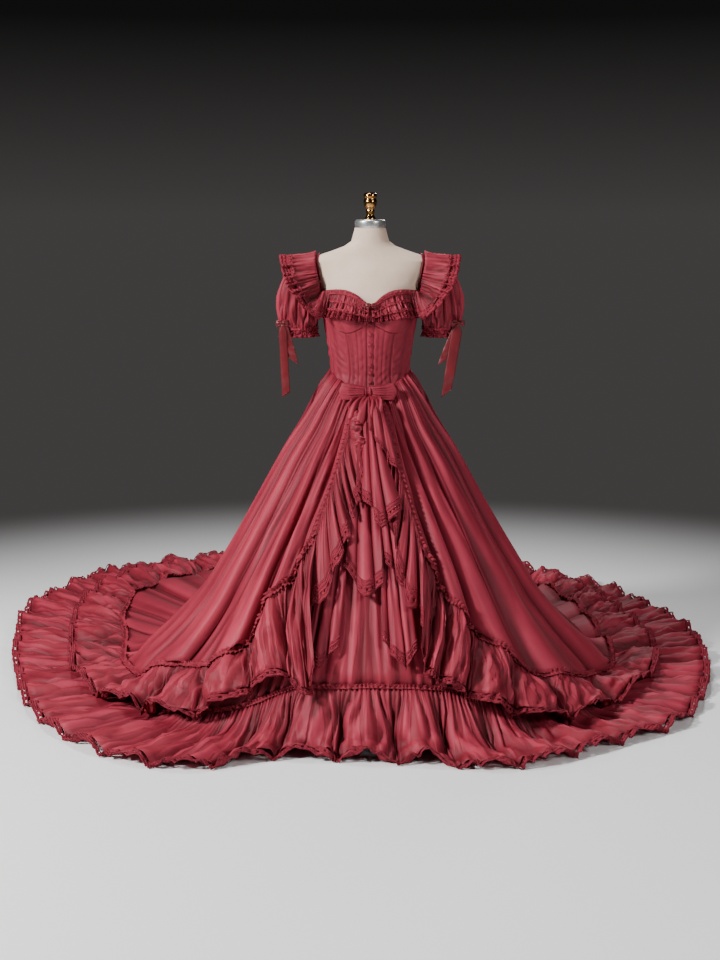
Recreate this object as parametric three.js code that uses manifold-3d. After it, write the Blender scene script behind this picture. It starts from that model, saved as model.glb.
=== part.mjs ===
// A rose-red ball gown with a round train, dressed on a limbless dress form with a stand.
// Units are millimetres and +Z is up. The origin is on the stand's axis at the floor.
// The front of the gown faces -Y, +X is to the viewer's right and the train runs toward +Y.
import * as THREE from 'three';
import Module from 'manifold-3d';

const wasm = await Module();
wasm.setup();

// Driving sizes.
const clothThick = 2;
const seamGap = 0.4;
const lapClear = 0.6;
const formClear = 3.4;
const baseRadius = 170;
const baseThick = 12;
const poleRadius = 14;
const torsoFoot = 820;
const neckRadius = 48;
const neckTop = 1486;
const capHeight = 25;
const finialTop = 1595;
const buttonRadius = 6.5;
const buttonRise = 5;
const floorClear = 0.3;
const overFloor = 47;
const underFloor = 13;
const ribbonThick = 2;

// Fold counts, 24 + 36 + 46 + 24 + 16 + 12 + 12 + 6 = 176 in all.
const skirtPleats = 24;
const flounceWaves = 36;
const hemWaves = 46;
const neckWaves = 24;
const sleeveGathers = 16;
const frillWaves = 12;
const cascadeFolds = 12;
const jabotFolds = 6;

// Looks of the real materials.
const looks = {
  cloth: { color: 0x9e3e4e, roughness: 0.7, metalness: 0 },
  lace: { color: 0x7c2c3a, roughness: 0.85, metalness: 0 },
  ribbon: { color: 0x962834, roughness: 0.45, metalness: 0 },
  cover: { color: 0xcdc0b4, roughness: 0.85, metalness: 0 },
  silver: { color: 0xd8d8da, roughness: 0.15, metalness: 1 },
  brass: { color: 0xb07a36, roughness: 0.2, metalness: 1 },
  stand: { color: 0x2b2b2d, roughness: 0.5, metalness: 0.6 },
};

const radians = Math.PI / 180;
const gown = new THREE.Group();

function columns(names, rows) {
  return rows.map((row) => Object.fromEntries(names.map((name, i) => [name, row[i]])));
}

function mix(a, b, share) {
  return a + (b - a) * share;
}

function clamp(value, low, high) {
  return Math.max(low, Math.min(high, value));
}

function ease(value) {
  const t = clamp(value, 0, 1);
  return t * t * (3 - 2 * t);
}

// Reads one column of a table at a key, with straight lines between its rows.
function track(table, keyName, key, name) {
  const rising = table[table.length - 1][keyName] > table[0][keyName];
  const at = (row) => (rising ? row[keyName] : -row[keyName]);
  const want = rising ? key : -key;
  let i = 0;
  while (i < table.length - 2 && at(table[i + 1]) < want) i += 1;
  const share = clamp((want - at(table[i])) / (at(table[i + 1]) - at(table[i])), 0, 1);
  return mix(table[i][name], table[i + 1][name], share);
}

// Radius of an oval section in one direction. Angles start at the front and grow to +X.
function oval(angle, side, front, back) {
  const depth = Math.cos(angle) > 0 ? front : back;
  return 1 / Math.hypot(Math.sin(angle) / side, Math.cos(angle) / depth);
}

function polar(angle, radius, z) {
  return new THREE.Vector3(radius * Math.sin(angle), -radius * Math.cos(angle), z);
}

function addPiece(name, geometry, look) {
  geometry.computeVertexNormals();
  const mesh = new THREE.Mesh(geometry, new THREE.MeshStandardMaterial(looks[look]));
  mesh.name = name;
  gown.add(mesh);
  return mesh;
}

// Turns the faces of a closed body outward.
function closedBody(points, faces) {
  const p = points.flatMap((v) => [v.x, v.y, v.z]);
  let volume = 0;
  for (const [a, b, c] of faces) {
    volume += points[a].dot(new THREE.Vector3().crossVectors(points[b], points[c]));
  }
  const index = faces.flatMap(([a, b, c]) => (volume > 0 ? [a, b, c] : [a, c, b]));
  const geometry = new THREE.BufferGeometry();
  geometry.setAttribute('position', new THREE.Float32BufferAttribute(p, 3));
  geometry.setIndex(index);
  return geometry;
}

// Samples a sheet and its normals. A sheet that closes on itself is sampled all round.
// A sheet that ends on the centre back plane keeps its last normals in that plane.
function sampleSheet(columnCount, rowCount, place, closed = false, endsOnPlane = false) {
  const points = [];
  for (let i = 0; i <= columnCount; i += 1) {
    points.push([]);
    for (let j = 0; j <= rowCount; j += 1) points[i].push(place(i, j));
  }
  const last = columnCount;
  const along = (i, j) => {
    if (closed && (i === 0 || i === last)) {
      return points[1][j].clone().sub(points[last - 1][j]);
    }
    return points[Math.min(i + 1, last)][j].clone().sub(points[Math.max(i - 1, 0)][j]);
  };
  const down = (i, j) => {
    return points[i][Math.min(j + 1, rowCount)].clone().sub(points[i][Math.max(j - 1, 0)]);
  };
  const normals = points.map((column, i) => column.map((_, j) => {
    const normal = new THREE.Vector3().crossVectors(along(i, j), down(i, j));
    if (endsOnPlane && i === last) normal.x = 0;
    return normal.normalize();
  }));
  return { points, normals };
}

// Cuts one panel out of a sheet and gives it its wall. Cells named by isOpen are cut through.
function panel(sheet, from, to, options = {}) {
  const { thick = clothThick, gap = seamGap, isOpen = () => false } = options;
  const { points, normals } = sheet;
  const rowCount = points[0].length;
  const count = to - from + 1;
  const all = [];
  const spot = (i, j, face) => (i * rowCount + j) * 2 + face;
  for (let i = 0; i < count; i += 1) {
    for (let j = 0; j < rowCount; j += 1) {
      const here = points[from + i][j].clone();
      const next = i === 0 ? points[from + 1][j] : points[to - 1][j];
      if (i === 0 || i === count - 1) {
        here.addScaledVector(next.clone().sub(here).normalize(), gap / 2);
      }
      const normal = normals[from + i][j];
      all.push(here.clone().addScaledVector(normal, thick / 2));
      all.push(here.clone().addScaledVector(normal, -thick / 2));
    }
  }
  const faces = [];
  const quad = (a, b, c, d) => faces.push([a, b, c], [a, c, d]);
  const solidCell = (i, j) => {
    const inside = i >= 0 && i < count - 1 && j >= 0 && j < rowCount - 1;
    return inside && !isOpen(from + i, j);
  };
  const rim = (i, j, k, l) => quad(spot(i, j, 0), spot(i, j, 1), spot(k, l, 1), spot(k, l, 0));
  for (let i = 0; i < count - 1; i += 1) {
    for (let j = 0; j < rowCount - 1; j += 1) {
      if (!solidCell(i, j)) continue;
      quad(spot(i, j, 0), spot(i, j + 1, 0), spot(i + 1, j + 1, 0), spot(i + 1, j, 0));
      quad(spot(i, j, 1), spot(i + 1, j, 1), spot(i + 1, j + 1, 1), spot(i, j + 1, 1));
      if (!solidCell(i - 1, j)) rim(i, j, i, j + 1);
      if (!solidCell(i + 1, j)) rim(i + 1, j + 1, i + 1, j);
      if (!solidCell(i, j - 1)) rim(i + 1, j, i, j);
      if (!solidCell(i, j + 1)) rim(i, j + 1, i + 1, j + 1);
    }
  }
  return closedBody(all, faces.map(([a, b, c]) => [a, c, b]));
}

// A tube of cloth, open at both ends, from rings of the same number of points.
function tubeWall(rings, thick = clothThick) {
  const around = rings[0].length;
  const sheet = sampleSheet(around, rings.length - 1, (i, j) => rings[j][i % around], true);
  const all = [];
  const rowCount = rings.length;
  const spot = (i, j, face) => ((i % around) * rowCount + j) * 2 + face;
  for (let i = 0; i < around; i += 1) {
    for (let j = 0; j < rowCount; j += 1) {
      all.push(sheet.points[i][j].clone().addScaledVector(sheet.normals[i][j], thick / 2));
      all.push(sheet.points[i][j].clone().addScaledVector(sheet.normals[i][j], -thick / 2));
    }
  }
  const faces = [];
  const quad = (a, b, c, d) => faces.push([a, b, c], [a, c, d]);
  for (let i = 0; i < around; i += 1) {
    for (let j = 0; j < rowCount - 1; j += 1) {
      quad(spot(i, j, 0), spot(i, j + 1, 0), spot(i + 1, j + 1, 0), spot(i + 1, j, 0));
      quad(spot(i, j, 1), spot(i + 1, j, 1), spot(i + 1, j + 1, 1), spot(i, j + 1, 1));
    }
    quad(spot(i, 0, 0), spot(i + 1, 0, 0), spot(i + 1, 0, 1), spot(i, 0, 1));
    const end = rowCount - 1;
    quad(spot(i, end, 0), spot(i, end, 1), spot(i + 1, end, 1), spot(i + 1, end, 0));
  }
  return closedBody(all, faces);
}

// A solid body through rings of the same number of points, closed by flat fans.
function loft(rings) {
  const around = rings[0].length;
  const all = rings.flat();
  const faces = [];
  for (let k = 0; k < rings.length - 1; k += 1) {
    for (let i = 0; i < around; i += 1) {
      const a = k * around + i;
      const b = k * around + ((i + 1) % around);
      faces.push([a, b, b + around], [a, b + around, a + around]);
    }
  }
  const cap = (start, flip) => {
    const centre = new THREE.Vector3();
    for (let i = 0; i < around; i += 1) centre.addScaledVector(all[start + i], 1 / around);
    all.push(centre);
    const hub = all.length - 1;
    for (let i = 0; i < around; i += 1) {
      const a = start + i;
      const b = start + ((i + 1) % around);
      faces.push(flip ? [a, hub, b] : [a, b, hub]);
    }
  };
  cap(0, true);
  cap((rings.length - 1) * around, false);
  return closedBody(all, faces);
}

// Joins closed bodies that run into each other into one.
function join(geometries) {
  const solids = geometries.map((geometry) => {
    const vertProperties = new Float32Array(geometry.getAttribute('position').array);
    const triVerts = new Uint32Array(geometry.getIndex().array);
    return new wasm.Manifold(new wasm.Mesh({ numProp: 3, vertProperties, triVerts }));
  });
  const whole = solids.reduce((sum, solid) => sum.add(solid)).getMesh();
  const geometry = new THREE.BufferGeometry();
  geometry.setAttribute('position', new THREE.Float32BufferAttribute(whole.vertProperties, 3));
  geometry.setIndex([...whole.triVerts]);
  return geometry;
}

// The dress form's sections, by height.
const formSections = columns(['z', 'side', 'front', 'back'], [
  [820, 140, 100, 115], [900, 152, 106, 122], [960, 144, 98, 112], [1000, 131, 90, 98],
  [1033, 121, 84, 88], [1080, 124, 88, 90], [1130, 132, 96, 94], [1163, 137, 100, 97],
  [1210, 145, 104, 100], [1260, 149, 104, 101], [1310, 157, 95, 98], [1350, 171, 80, 90],
  [1385, 184, 60, 72], [1400, 165, 52, 62], [1415, 120, 50, 58], [1430, 80, 49, 54],
  [1445, 59, 49, 51], [1486, neckRadius, neckRadius - 2, neckRadius],
]);
const bust = { angle: 35, spread: 19, height: 1216, reach: 46, depth: 30 };

function formRadius(angle, z) {
  const part = (name) => track(formSections, 'z', z, name);
  const turn = Math.atan2(Math.sin(angle), Math.cos(angle)) / radians;
  const across = (Math.abs(turn) - bust.angle) / bust.spread;
  const upward = (z - bust.height) / bust.reach;
  const lobe = bust.depth * Math.exp(-across * across - upward * upward);
  return oval(angle, part('side'), part('front'), part('back')) + lobe;
}

const formSides = 20;
const bustRings = [1163, 1210, 1260];
const formRings = formSections.flatMap(({ z }) => (bustRings.includes(z) ? [z, z + 24] : [z]));
addPiece('form_torso', loft(formRings.map((z) => {
  return Array.from({ length: formSides }, (_, i) => {
    const angle = (i / formSides) * 2 * Math.PI;
    return polar(angle, formRadius(angle, z), z);
  });
})), 'cover');

function turned(profile, sides) {
  const outline = profile.map(([radius, z]) => new THREE.Vector2(radius, z));
  return new THREE.LatheGeometry(outline, sides).rotateX(Math.PI / 2).toNonIndexed();
}

const capFoot = neckTop + seamGap;
const capTop = capFoot + capHeight;
addPiece('form_neck_cap', turned([
  [0, capFoot], [neckRadius, capFoot], [neckRadius + 0.5, capFoot + 18],
  [neckRadius - 4, capTop - 1], [neckRadius - 8, capTop], [0, capTop],
], 24), 'silver');

const finialFoot = capTop + seamGap;
addPiece('form_finial', turned([
  [0, finialFoot], [17, finialFoot], [16, 1518], [12.5, 1524], [14, 1536], [13.5, 1543],
  [19, 1554], [21.5, 1566], [19, 1576], [21.5, 1582], [19.5, 1590], [12, 1594],
  [0, finialTop],
], 12), 'brass');

const poleTop = torsoFoot - seamGap;
addPiece('form_stand', turned([
  [0, 0], [baseRadius, 0], [baseRadius, baseThick - 4], [baseRadius - 8, baseThick],
  [24, baseThick], [poleRadius, 30], [poleRadius, poleTop], [0, poleTop],
], 20), 'stand');

// Lines on the bodice, by angle from the front: waist seam, seam under the cups and neckline.
const bodiceLines = columns(['angle', 'waist', 'underbust', 'neckline'], [
  [0, 985, 1196, 1254], [6, 985, 1194, 1258], [20, 989, 1174, 1281], [35, 997, 1163, 1295],
  [50, 1008, 1170, 1299], [62, 1018, 1192, 1297], [72, 1027, 1222, 1294],
  [86, 1037, 1240, 1292], [97, 1037, 1240, 1272], [110, 1036, 1245, 1276],
  [125, 1035, 1250, 1288], [180, 1030, 1250, 1290],
]);

function bodiceLine(angle, name) {
  return track(bodiceLines, 'angle', Math.abs(angle), name);
}

const bodiceLift = formClear + clothThick / 2;

function onBodice(angle, z, lift) {
  return polar(angle * radians, formRadius(angle * radians, z) + lift, z);
}

// One bodice sheet between two angles in degrees and two named lines.
function bodiceSheet(from, to, columnCount, rowCount, low, high, lift = bodiceLift) {
  return sampleSheet(columnCount, rowCount, (i, j) => {
    const angle = mix(from, to, i / columnCount);
    const bottom = low(angle);
    const z = mix(high(angle), bottom, j / rowCount);
    return onBodice(angle, z, lift);
  });
}

const waistLine = (angle) => bodiceLine(angle, 'waist');
const underCup = (angle) => bodiceLine(angle, 'underbust') - seamGap / 2;
const overCup = (angle) => bodiceLine(angle, 'underbust') + seamGap / 2;
const neckline = (angle) => bodiceLine(angle, 'neckline');
const placketAngle = 6;
const cupEase = 1.2;
const sideAngle = 72;

for (const [sideName, sign] of [['left', -1], ['right', 1]]) {
  const frontSheet = bodiceSheet(
    sign * placketAngle, sign * sideAngle, 8, 5, waistLine, underCup,
  );
  addPiece(`bodice_front_${sideName}`, panel(frontSheet, 0, 4), 'cloth');
  addPiece(`bodice_side_front_${sideName}`, panel(frontSheet, 4, 8), 'cloth');
  const backSheet = bodiceSheet(sign * sideAngle, sign * 180, 10, 6, waistLine, neckline);
  addPiece(`bodice_side_${sideName}`, panel(backSheet, 0, 5), 'cloth');
  addPiece(`bodice_back_${sideName}`, panel(backSheet, 5, 10), 'cloth');
  const cupSheet = bodiceSheet(
    sign * placketAngle, sign * sideAngle, 8, 5, overCup, neckline, bodiceLift + cupEase,
  );
  addPiece(`cup_${sideName}`, panel(cupSheet, 0, 8, { gap: 3 * seamGap }), 'cloth');
}

const placketSheet = bodiceSheet(-placketAngle, placketAngle, 2, 8, waistLine, neckline);
addPiece('button_placket', panel(placketSheet, 0, 2), 'cloth');

// Seven covered buttons down the placket, each square to the cloth under it.
const buttonHeights = [1193, 1161, 1128, 1095, 1063, 1038, 1010];
const buttonSeat = clothThick / 2 + 0.9;
const placketLine = placketSheet.points[1];
buttonHeights.forEach((z, i) => {
  const below = placketLine.findIndex((point) => point.z < z);
  const [high, low] = [placketLine[below - 1], placketLine[below]];
  const spot = high.clone().lerp(low, (high.z - z) / (high.z - low.z));
  const outward = new THREE.Vector3(0, low.z - high.z, high.y - low.y).normalize();
  const geometry = new THREE.LatheGeometry([
    new THREE.Vector2(0, 0), new THREE.Vector2(buttonRadius, 0),
    new THREE.Vector2(buttonRadius * 0.9, buttonRise * 0.6), new THREE.Vector2(0, buttonRise),
  ], 10);
  const button = addPiece(`button_${i + 1}`, geometry.toNonIndexed(), 'cloth');
  button.quaternion.setFromUnitVectors(new THREE.Vector3(0, 1, 0), outward);
  button.position.copy(spot.addScaledVector(outward, buttonSeat));
});

// The skirt's outer form, by height: its radius to the front, side and back.
const skirtForm = columns(['z', 'front', 'side', 'back'], [
  [1036, 60, 128, 88], [1007, 80, 153, 122], [985, 99, 171, 146], [943, 140, 204, 190],
  [879, 190, 250, 252], [781, 262, 312, 335], [616, 375, 399, 440], [518, 435, 449, 502],
  [417, 495, 503, 568], [349, 535, 540, 618], [282, 572, 592, 672], [214, 612, 653, 730],
  [145, 652, 726, 792], [90, 690, 772, 850], [60, 730, 820, 930], [50, 790, 880, 1010],
  [overFloor, 860, 950, 1080],
]);
const underStep = columns(['z', 'inset'], [
  [1036, 4], [985, 6], [943, 20], [879, 32], [781, 40], [145, 42], [90, 46], [60, 62],
]);

// The same form for the underskirt, which hangs inside and lies lower on the floor.
const underForm = skirtForm.filter(({ z }) => z > 55).map(({ z, front, side, back }) => {
  const inset = track(underStep, 'z', z, 'inset');
  const drop = ease((200 - z) / 150) * 22;
  return { z: z - drop, front: front - inset, side: side - inset, back: back - inset };
});
underForm.push({ z: underFloor, front: 716, side: 800, back: 915 });

function heightOn(form, angle, radius) {
  const reach = form.map(({ z, front, side, back }) => ({ z, r: oval(angle, side, front, back) }));
  return track(reach, 'r', radius, 'z');
}

function radiusOn(form, angle, z) {
  const part = (name) => track(form, 'z', z, name);
  return oval(angle, part('side'), part('front'), part('back'));
}

// Radii that part a skirt panel's fall into even heights down to where it meets the floor,
// with one last step from there to its edge.
function fallRadius(form, angle, top, foot, end, row, rowCount) {
  if (row === rowCount) return end;
  const bend = Math.min(radiusOn(form, angle, foot), mix(top, end, 0.86));
  const low = heightOn(form, angle, bend);
  const high = heightOn(form, angle, top);
  return radiusOn(form, angle, mix(high, low, row / (rowCount - 1)));
}

// A point on one of the skirt's forms, lifted from it along its normal.
function onSkirt(form, degrees, radius, lift) {
  const angle = degrees * radians;
  const step = 12;
  const z = heightOn(form, angle, radius);
  const fall = heightOn(form, angle, radius + step) - heightOn(form, angle, radius - step);
  const normal = new THREE.Vector2(-fall, 2 * step).normalize();
  return polar(angle, radius + lift * normal.x, z + lift * normal.y);
}

// The overskirt's trim on each side, by the angle at the waist that its cloth comes from:
// where the flounce's heading runs and where its lace edge ends.
const trimNames = ['waist', 'headAngle', 'head', 'laceAngle', 'lace'];
const trim = {
  left: columns(trimNames, [
    [8, 24, 395, 12, 590], [12.5, 27, 425, 13.5, 625], [17, 29.5, 455, 15.5, 640],
    [25, 35.5, 497, 24, 625], [34, 42, 585, 35, 680], [42, 50, 645, 45, 750],
    [50, 61, 675, 58, 805],
    [58, 72, 745, 70, 885], [66, 86, 790, 84, 960], [75, 100, 850, 99, 1045],
    [84, 112, 930, 111, 1155], [95, 122, 1070, 121, 1290], [106, 131, 1230, 130, 1450],
    [118, 139, 1365, 138, 1570], [130, 148, 1440, 147, 1640], [150, 162, 1450, 162, 1650],
    [180, 180, 1430, 180, 1625],
  ]),
  right: columns(trimNames, [
    [8, 20.5, 400, 11, 560], [12.5, 24, 445, 12.5, 595], [17, 26, 475, 14.5, 612],
    [25, 29.5, 508, 19, 632], [34, 36, 555, 27, 668], [42, 43, 612, 37, 715],
    [50, 52, 672, 48, 780],
    [58, 64, 715, 62, 815], [66, 80, 765, 80, 890], [75, 96, 830, 96, 990],
    [84, 110, 890, 110, 1065], [95, 121, 960, 120, 1130], [106, 130, 1060, 129, 1210],
    [118, 139, 1180, 138, 1330], [130, 147, 1290, 146, 1430], [150, 161, 1380, 161, 1550],
    [180, 180, 1430, 180, 1625],
  ]),
};
const openingAngle = 8;
const skirtColumns = 48;
const sideColumn = 20;
const skirtRows = 6;
const overFoot = 66;
const underFoot = 24;
const skirtLift = bodiceLift + 2.5;

// The pleats' depth. They grow from the waist down and fade out at the front edge.
function pleatLift(column, share) {
  const turn = (column / skirtColumns) * (skirtPleats / 2) * 2 * Math.PI;
  const depth = mix(2, 20, ease(share * 1.2)) * ease(column / 3);
  return depth * Math.sin(turn);
}

// How far each column of cloth has turned from its angle at the waist to that at the heading.
const fan = columns(['share', 'turn'], [[0, 0], [0.3, 0.66], [0.6, 0.77], [1, 1]]);

// A point on the overskirt, between the waist seam and the flounce's heading.
function overskirtPoint(sign, rows, column, row) {
  const share = row / skirtRows;
  const key = mix(openingAngle, 180, column / skirtColumns);
  const headAngle = track(rows, 'waist', key, 'headAngle');
  const head = track(rows, 'waist', key, 'head');
  const degrees = mix(key, headAngle, track(fan, 'share', share, 'turn'));
  const angle = degrees * radians;
  const topHeight = waistLine(key) - 0.6;
  const top = formRadius(angle, topHeight) + skirtLift;
  if (row === 0) return polar(sign * angle, top, topHeight);
  const radius = fallRadius(skirtForm, angle, top, overFoot, head, row, skirtRows);
  const floorShare = ease((radius - 820) / 200);
  const lift = pleatLift(column, share) * mix(1, 0.35, floorShare);
  return onSkirt(skirtForm, sign * degrees, radius, lift);
}

// The flounce is made from the overskirt's lower edge. Row 0 is the top of its heading,
// row 1 its seam, and rows 2 and 3 hang from it to the lace edge.
const headingRise = 14;
const headingStand = 8;
const flounceRows = [{ drop: 0.5, lift: 5, wave: 0.75 }, { drop: 1, lift: 4, wave: 1 }];

function flouncePoint(sign, rows, sheet, column, row) {
  const key = mix(openingAngle, 180, column / skirtColumns);
  const at = (name) => track(rows, 'waist', key, name);
  const turn = (column / skirtColumns) * (flounceWaves / 2) * 2 * Math.PI;
  const edge = sheet.points[column][skirtRows];
  const above = sheet.points[column][skirtRows - 1];
  const normal = sheet.normals[column][skirtRows].clone().multiplyScalar(-sign);
  if (row === 0) {
    const stand = headingStand + 2 * Math.cos(turn);
    const rise = headingRise / edge.distanceTo(above);
    return edge.clone().lerp(above, rise).addScaledVector(normal, stand);
  }
  if (row === 1) return edge.clone().addScaledVector(normal, clothThick + lapClear);
  const { drop, lift, wave } = flounceRows[row - 2];
  const degrees = mix(at('headAngle'), at('laceAngle'), drop);
  const radius = mix(at('head'), at('lace'), drop);
  const depth = mix(17, 11, ease((radius - 700) / 300));
  const floorShare = ease((at('head') - 820) / 200);
  const pleat = pleatLift(column, 1) * mix(1, 0.35, floorShare) * (1 - drop);
  return onSkirt(skirtForm, sign * degrees, radius, pleat + lift + wave * depth * Math.cos(turn));
}

const overskirts = {};
for (const [sideName, sign] of [['left', -1], ['right', 1]]) {
  const rows = trim[sideName];
  const sheet = sampleSheet(skirtColumns, skirtRows, (i, j) => {
    return overskirtPoint(sign, rows, i, j);
  }, false, true);
  overskirts[sideName] = sheet;
  addPiece(`overskirt_front_${sideName}`, panel(sheet, 0, sideColumn), 'cloth');
  addPiece(`overskirt_back_${sideName}`, panel(sheet, sideColumn, skirtColumns), 'cloth');
  const flounce = sampleSheet(skirtColumns, 3, (i, j) => {
    return flouncePoint(sign, rows, sheet, i, j);
  }, false, true);
  addPiece(`flounce_front_${sideName}`, panel(flounce, 0, sideColumn), 'cloth');
  addPiece(`flounce_train_${sideName}`, panel(flounce, sideColumn, skirtColumns), 'cloth');
}

// The underskirt's seam and the gown's hem, by angle on each side.
const hemNames = ['angle', 'seam', 'hem'];
const hemLine = {
  left: columns(hemNames, [
    [0, 585, 730], [12, 590, 722], [22, 600, 760], [33, 640, 930], [45, 680, 1010],
    [60, 735, 1062], [75, 790, 1110], [90, 860, 1175], [100, 930, 1260], [110, 1040, 1370],
    [121, 1220, 1560], [130, 1340, 1680], [140, 1460, 1790], [150, 1490, 1830],
    [165, 1480, 1825], [180, 1450, 1790],
  ]),
  right: columns(hemNames, [
    [0, 585, 730], [12, 590, 760], [24, 605, 850], [33, 635, 890], [45, 660, 915],
    [55, 690, 960], [65, 735, 1035], [78, 780, 1075], [90, 830, 1130], [100, 880, 1190],
    [110, 950, 1270], [120, 1030, 1360], [133, 1120, 1455], [144, 1230, 1565],
    [155, 1290, 1625], [168, 1370, 1710], [180, 1450, 1790],
  ]),
};

function hemAt(degrees, name) {
  return track(degrees < 0 ? hemLine.left : hemLine.right, 'angle', Math.abs(degrees), name);
}

// Angles that part a line round the skirt into equal lengths, from -180 to 180 degrees.
function evenAngles(count, name) {
  const fine = 1440;
  const lengths = [0];
  const spot = (k) => polar((k / fine - 0.5) * 2 * Math.PI, hemAt((k / fine - 0.5) * 360, name), 0);
  for (let k = 1; k <= fine; k += 1) lengths.push(lengths[k - 1] + spot(k).distanceTo(spot(k - 1)));
  const whole = lengths[fine];
  let k = 0;
  return Array.from({ length: count + 1 }, (_, i) => {
    const want = (whole * i) / count;
    while (k < fine - 1 && lengths[k + 1] < want) k += 1;
    const share = (want - lengths[k]) / (lengths[k + 1] - lengths[k]);
    return ((k + share) / fine - 0.5) * 360;
  });
}

const hemColumns = 120;
const hemAngles = evenAngles(hemColumns, 'hem');
const laceWidth = 26;
const laceThick = 1.4;
const laceRows = [0.6, 7, 18, laceWidth];
const hemGap = 1;
const hemDepth = 10;
const underDrop = 2.6;

// The underskirt is plain in front and lies flat under the train. It has one column for
// every third column of the hem ruffle, which starts on its lower edge.
const underStride = 3;
const underColumns = hemColumns / underStride;
const underRows = 6;
const underSheet = sampleSheet(underColumns, underRows, (i, j) => {
  const degrees = hemAngles[i * underStride];
  const angle = degrees * radians;
  const topHeight = waistLine(degrees) - underDrop;
  const top = formRadius(angle, topHeight) + bodiceLift;
  if (j === 0) return polar(angle, top, topHeight);
  const seam = hemAt(degrees, 'seam');
  const radius = fallRadius(underForm, angle, top, underFoot, seam, j, underRows);
  return onSkirt(underForm, degrees, radius, 0);
}, true);
addPiece('underskirt_back_left', panel(underSheet, 0, 13), 'cloth');
addPiece('underskirt_front', panel(underSheet, 13, 27), 'cloth');
addPiece('underskirt_back_right', panel(underSheet, 27, underColumns), 'cloth');

function hemPoint(column, row) {
  const degrees = hemAngles[column];
  const share = row / 2;
  const waveShare = [0, 0.8, 1][row];
  const radius = mix(hemAt(degrees, 'seam'), hemAt(degrees, 'hem') - laceWidth, share);
  const turn = (column / hemColumns) * hemWaves * 2 * Math.PI;
  const depth = mix(15, hemDepth, ease((radius - 600) / 100)) * waveShare;
  const spot = onSkirt(underForm, degrees, radius, depth * Math.cos(turn));
  if (row > 0) return spot;
  const k = Math.min(Math.floor(column / underStride), underColumns - 1);
  const start = underSheet.points[k][underRows];
  const seam = start.clone().lerp(underSheet.points[k + 1][underRows], column / underStride - k);
  const below = hemPoint(column, 1);
  return seam.addScaledVector(below.sub(seam).normalize(), hemGap);
}

const hemSheet = sampleSheet(hemColumns, 2, hemPoint, true);
const laceSheet = sampleSheet(hemColumns, 3, (i, j) => {
  const edge = hemSheet.points[i][2];
  const fall = edge.clone().sub(hemSheet.points[i][1]).normalize();
  const spot = edge.clone().addScaledVector(fall, laceRows[j]);
  spot.z = Math.max(spot.z, laceThick + floorClear);
  return spot;
}, true);
const hemParts = [
  ['back_left', 0, 30], ['front_left', 30, 60], ['front_right', 60, 90], ['back_right', 90, 120],
];
const laceHole = (i, j) => j === 1 && i % 2 === 1;
const laceWall = { thick: laceThick, isOpen: laceHole };
for (const [name, from, to] of hemParts) {
  addPiece(`hem_ruffle_${name}`, panel(hemSheet, from, to), 'cloth');
  addPiece(`hem_lace_${name}`, panel(laceSheet, from, to, laceWall), 'lace');
}

// The shoulder straps, from the top of the cup over the shoulder to the back panel.
const strapStations = columns(['z', 'angle', 'face'], [
  [1293.7, 71, -1], [1325, 68.5, -1], [1355, 65, -1], [1380, 62, -1], [1380, 60, 1],
  [1350, 56, 1], [1318, 53, 1], [1283.8, 50, 1],
]);
const strapWidth = 13;
const strapLift = 5;
const ridgeRow = 4;
const ridge = [[158, 1408.5], [175, 1398]];

function strapPoint(sign, edge, row) {
  if (row === ridgeRow) return new THREE.Vector3(sign * ridge[edge][0], 2, ridge[edge][1]);
  const { z, angle, face } = strapStations[row < ridgeRow ? row : row - 1];
  const turn = (angle + edge * strapWidth) * radians;
  const side = track(formSections, 'z', z, 'side');
  const depth = track(formSections, 'z', z, face < 0 ? 'front' : 'back');
  const outward = new THREE.Vector2(Math.sin(turn) / side, Math.cos(turn) / depth).normalize();
  const x = side * Math.sin(turn) + strapLift * outward.x;
  return new THREE.Vector3(sign * x, face * (depth * Math.cos(turn) + strapLift * outward.y), z);
}

// Stations of the neckline ruffle where it leaves the bodice and goes over the shoulder:
// its sewn edge and the middle of its free edge.
const shoulderStations = columns(['x', 'y', 'z', 'tipX', 'tipY', 'tipZ'], [
  [146, -58, 1291, 174, -120, 1220], [155, -40, 1291, 207, -126, 1257],
  [158, -58, 1318, 238, -126, 1292], [165, -52, 1350, 262, -100, 1342],
  [171, -40, 1388, 276, -52, 1384], [170, 2, 1414, 282, 4, 1400],
  [171, 44, 1390, 272, 62, 1382], [160, 66, 1350, 250, 112, 1330],
  [146, 84, 1312, 205, 150, 1275],
]);
const ruffleWidths = columns(['angle', 'width'], [
  [2, 48], [16, 66], [36, 78], [60, 80], [72, 76], [125, 70], [180, 66],
]);
const ruffleSeat = bodiceLift + cupEase + clothThick + lapClear + 0.5;
const ruffleFlare = 18;

function bodiceStation(angle) {
  const width = track(ruffleWidths, 'angle', angle, 'width');
  const top = neckline(angle) - 3;
  const sewn = onBodice(angle, top, ruffleSeat);
  const free = onBodice(angle, top - width, ruffleSeat + ruffleFlare);
  return { sewn, free };
}

const ruffleStations = [
  ...[2, 12, 24, 36, 48, 60].map((angle) => bodiceStation(angle)),
  ...shoulderStations.map((row) => ({
    sewn: new THREE.Vector3(row.x, row.y, row.z),
    free: new THREE.Vector3(row.tipX, row.tipY, row.tipZ),
  })),
  ...[122, 134, 146, 158, 168, 179].map((angle) => bodiceStation(angle)),
];
const ruffleColumns = 36;
const ruffleWave = 7;

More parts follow.
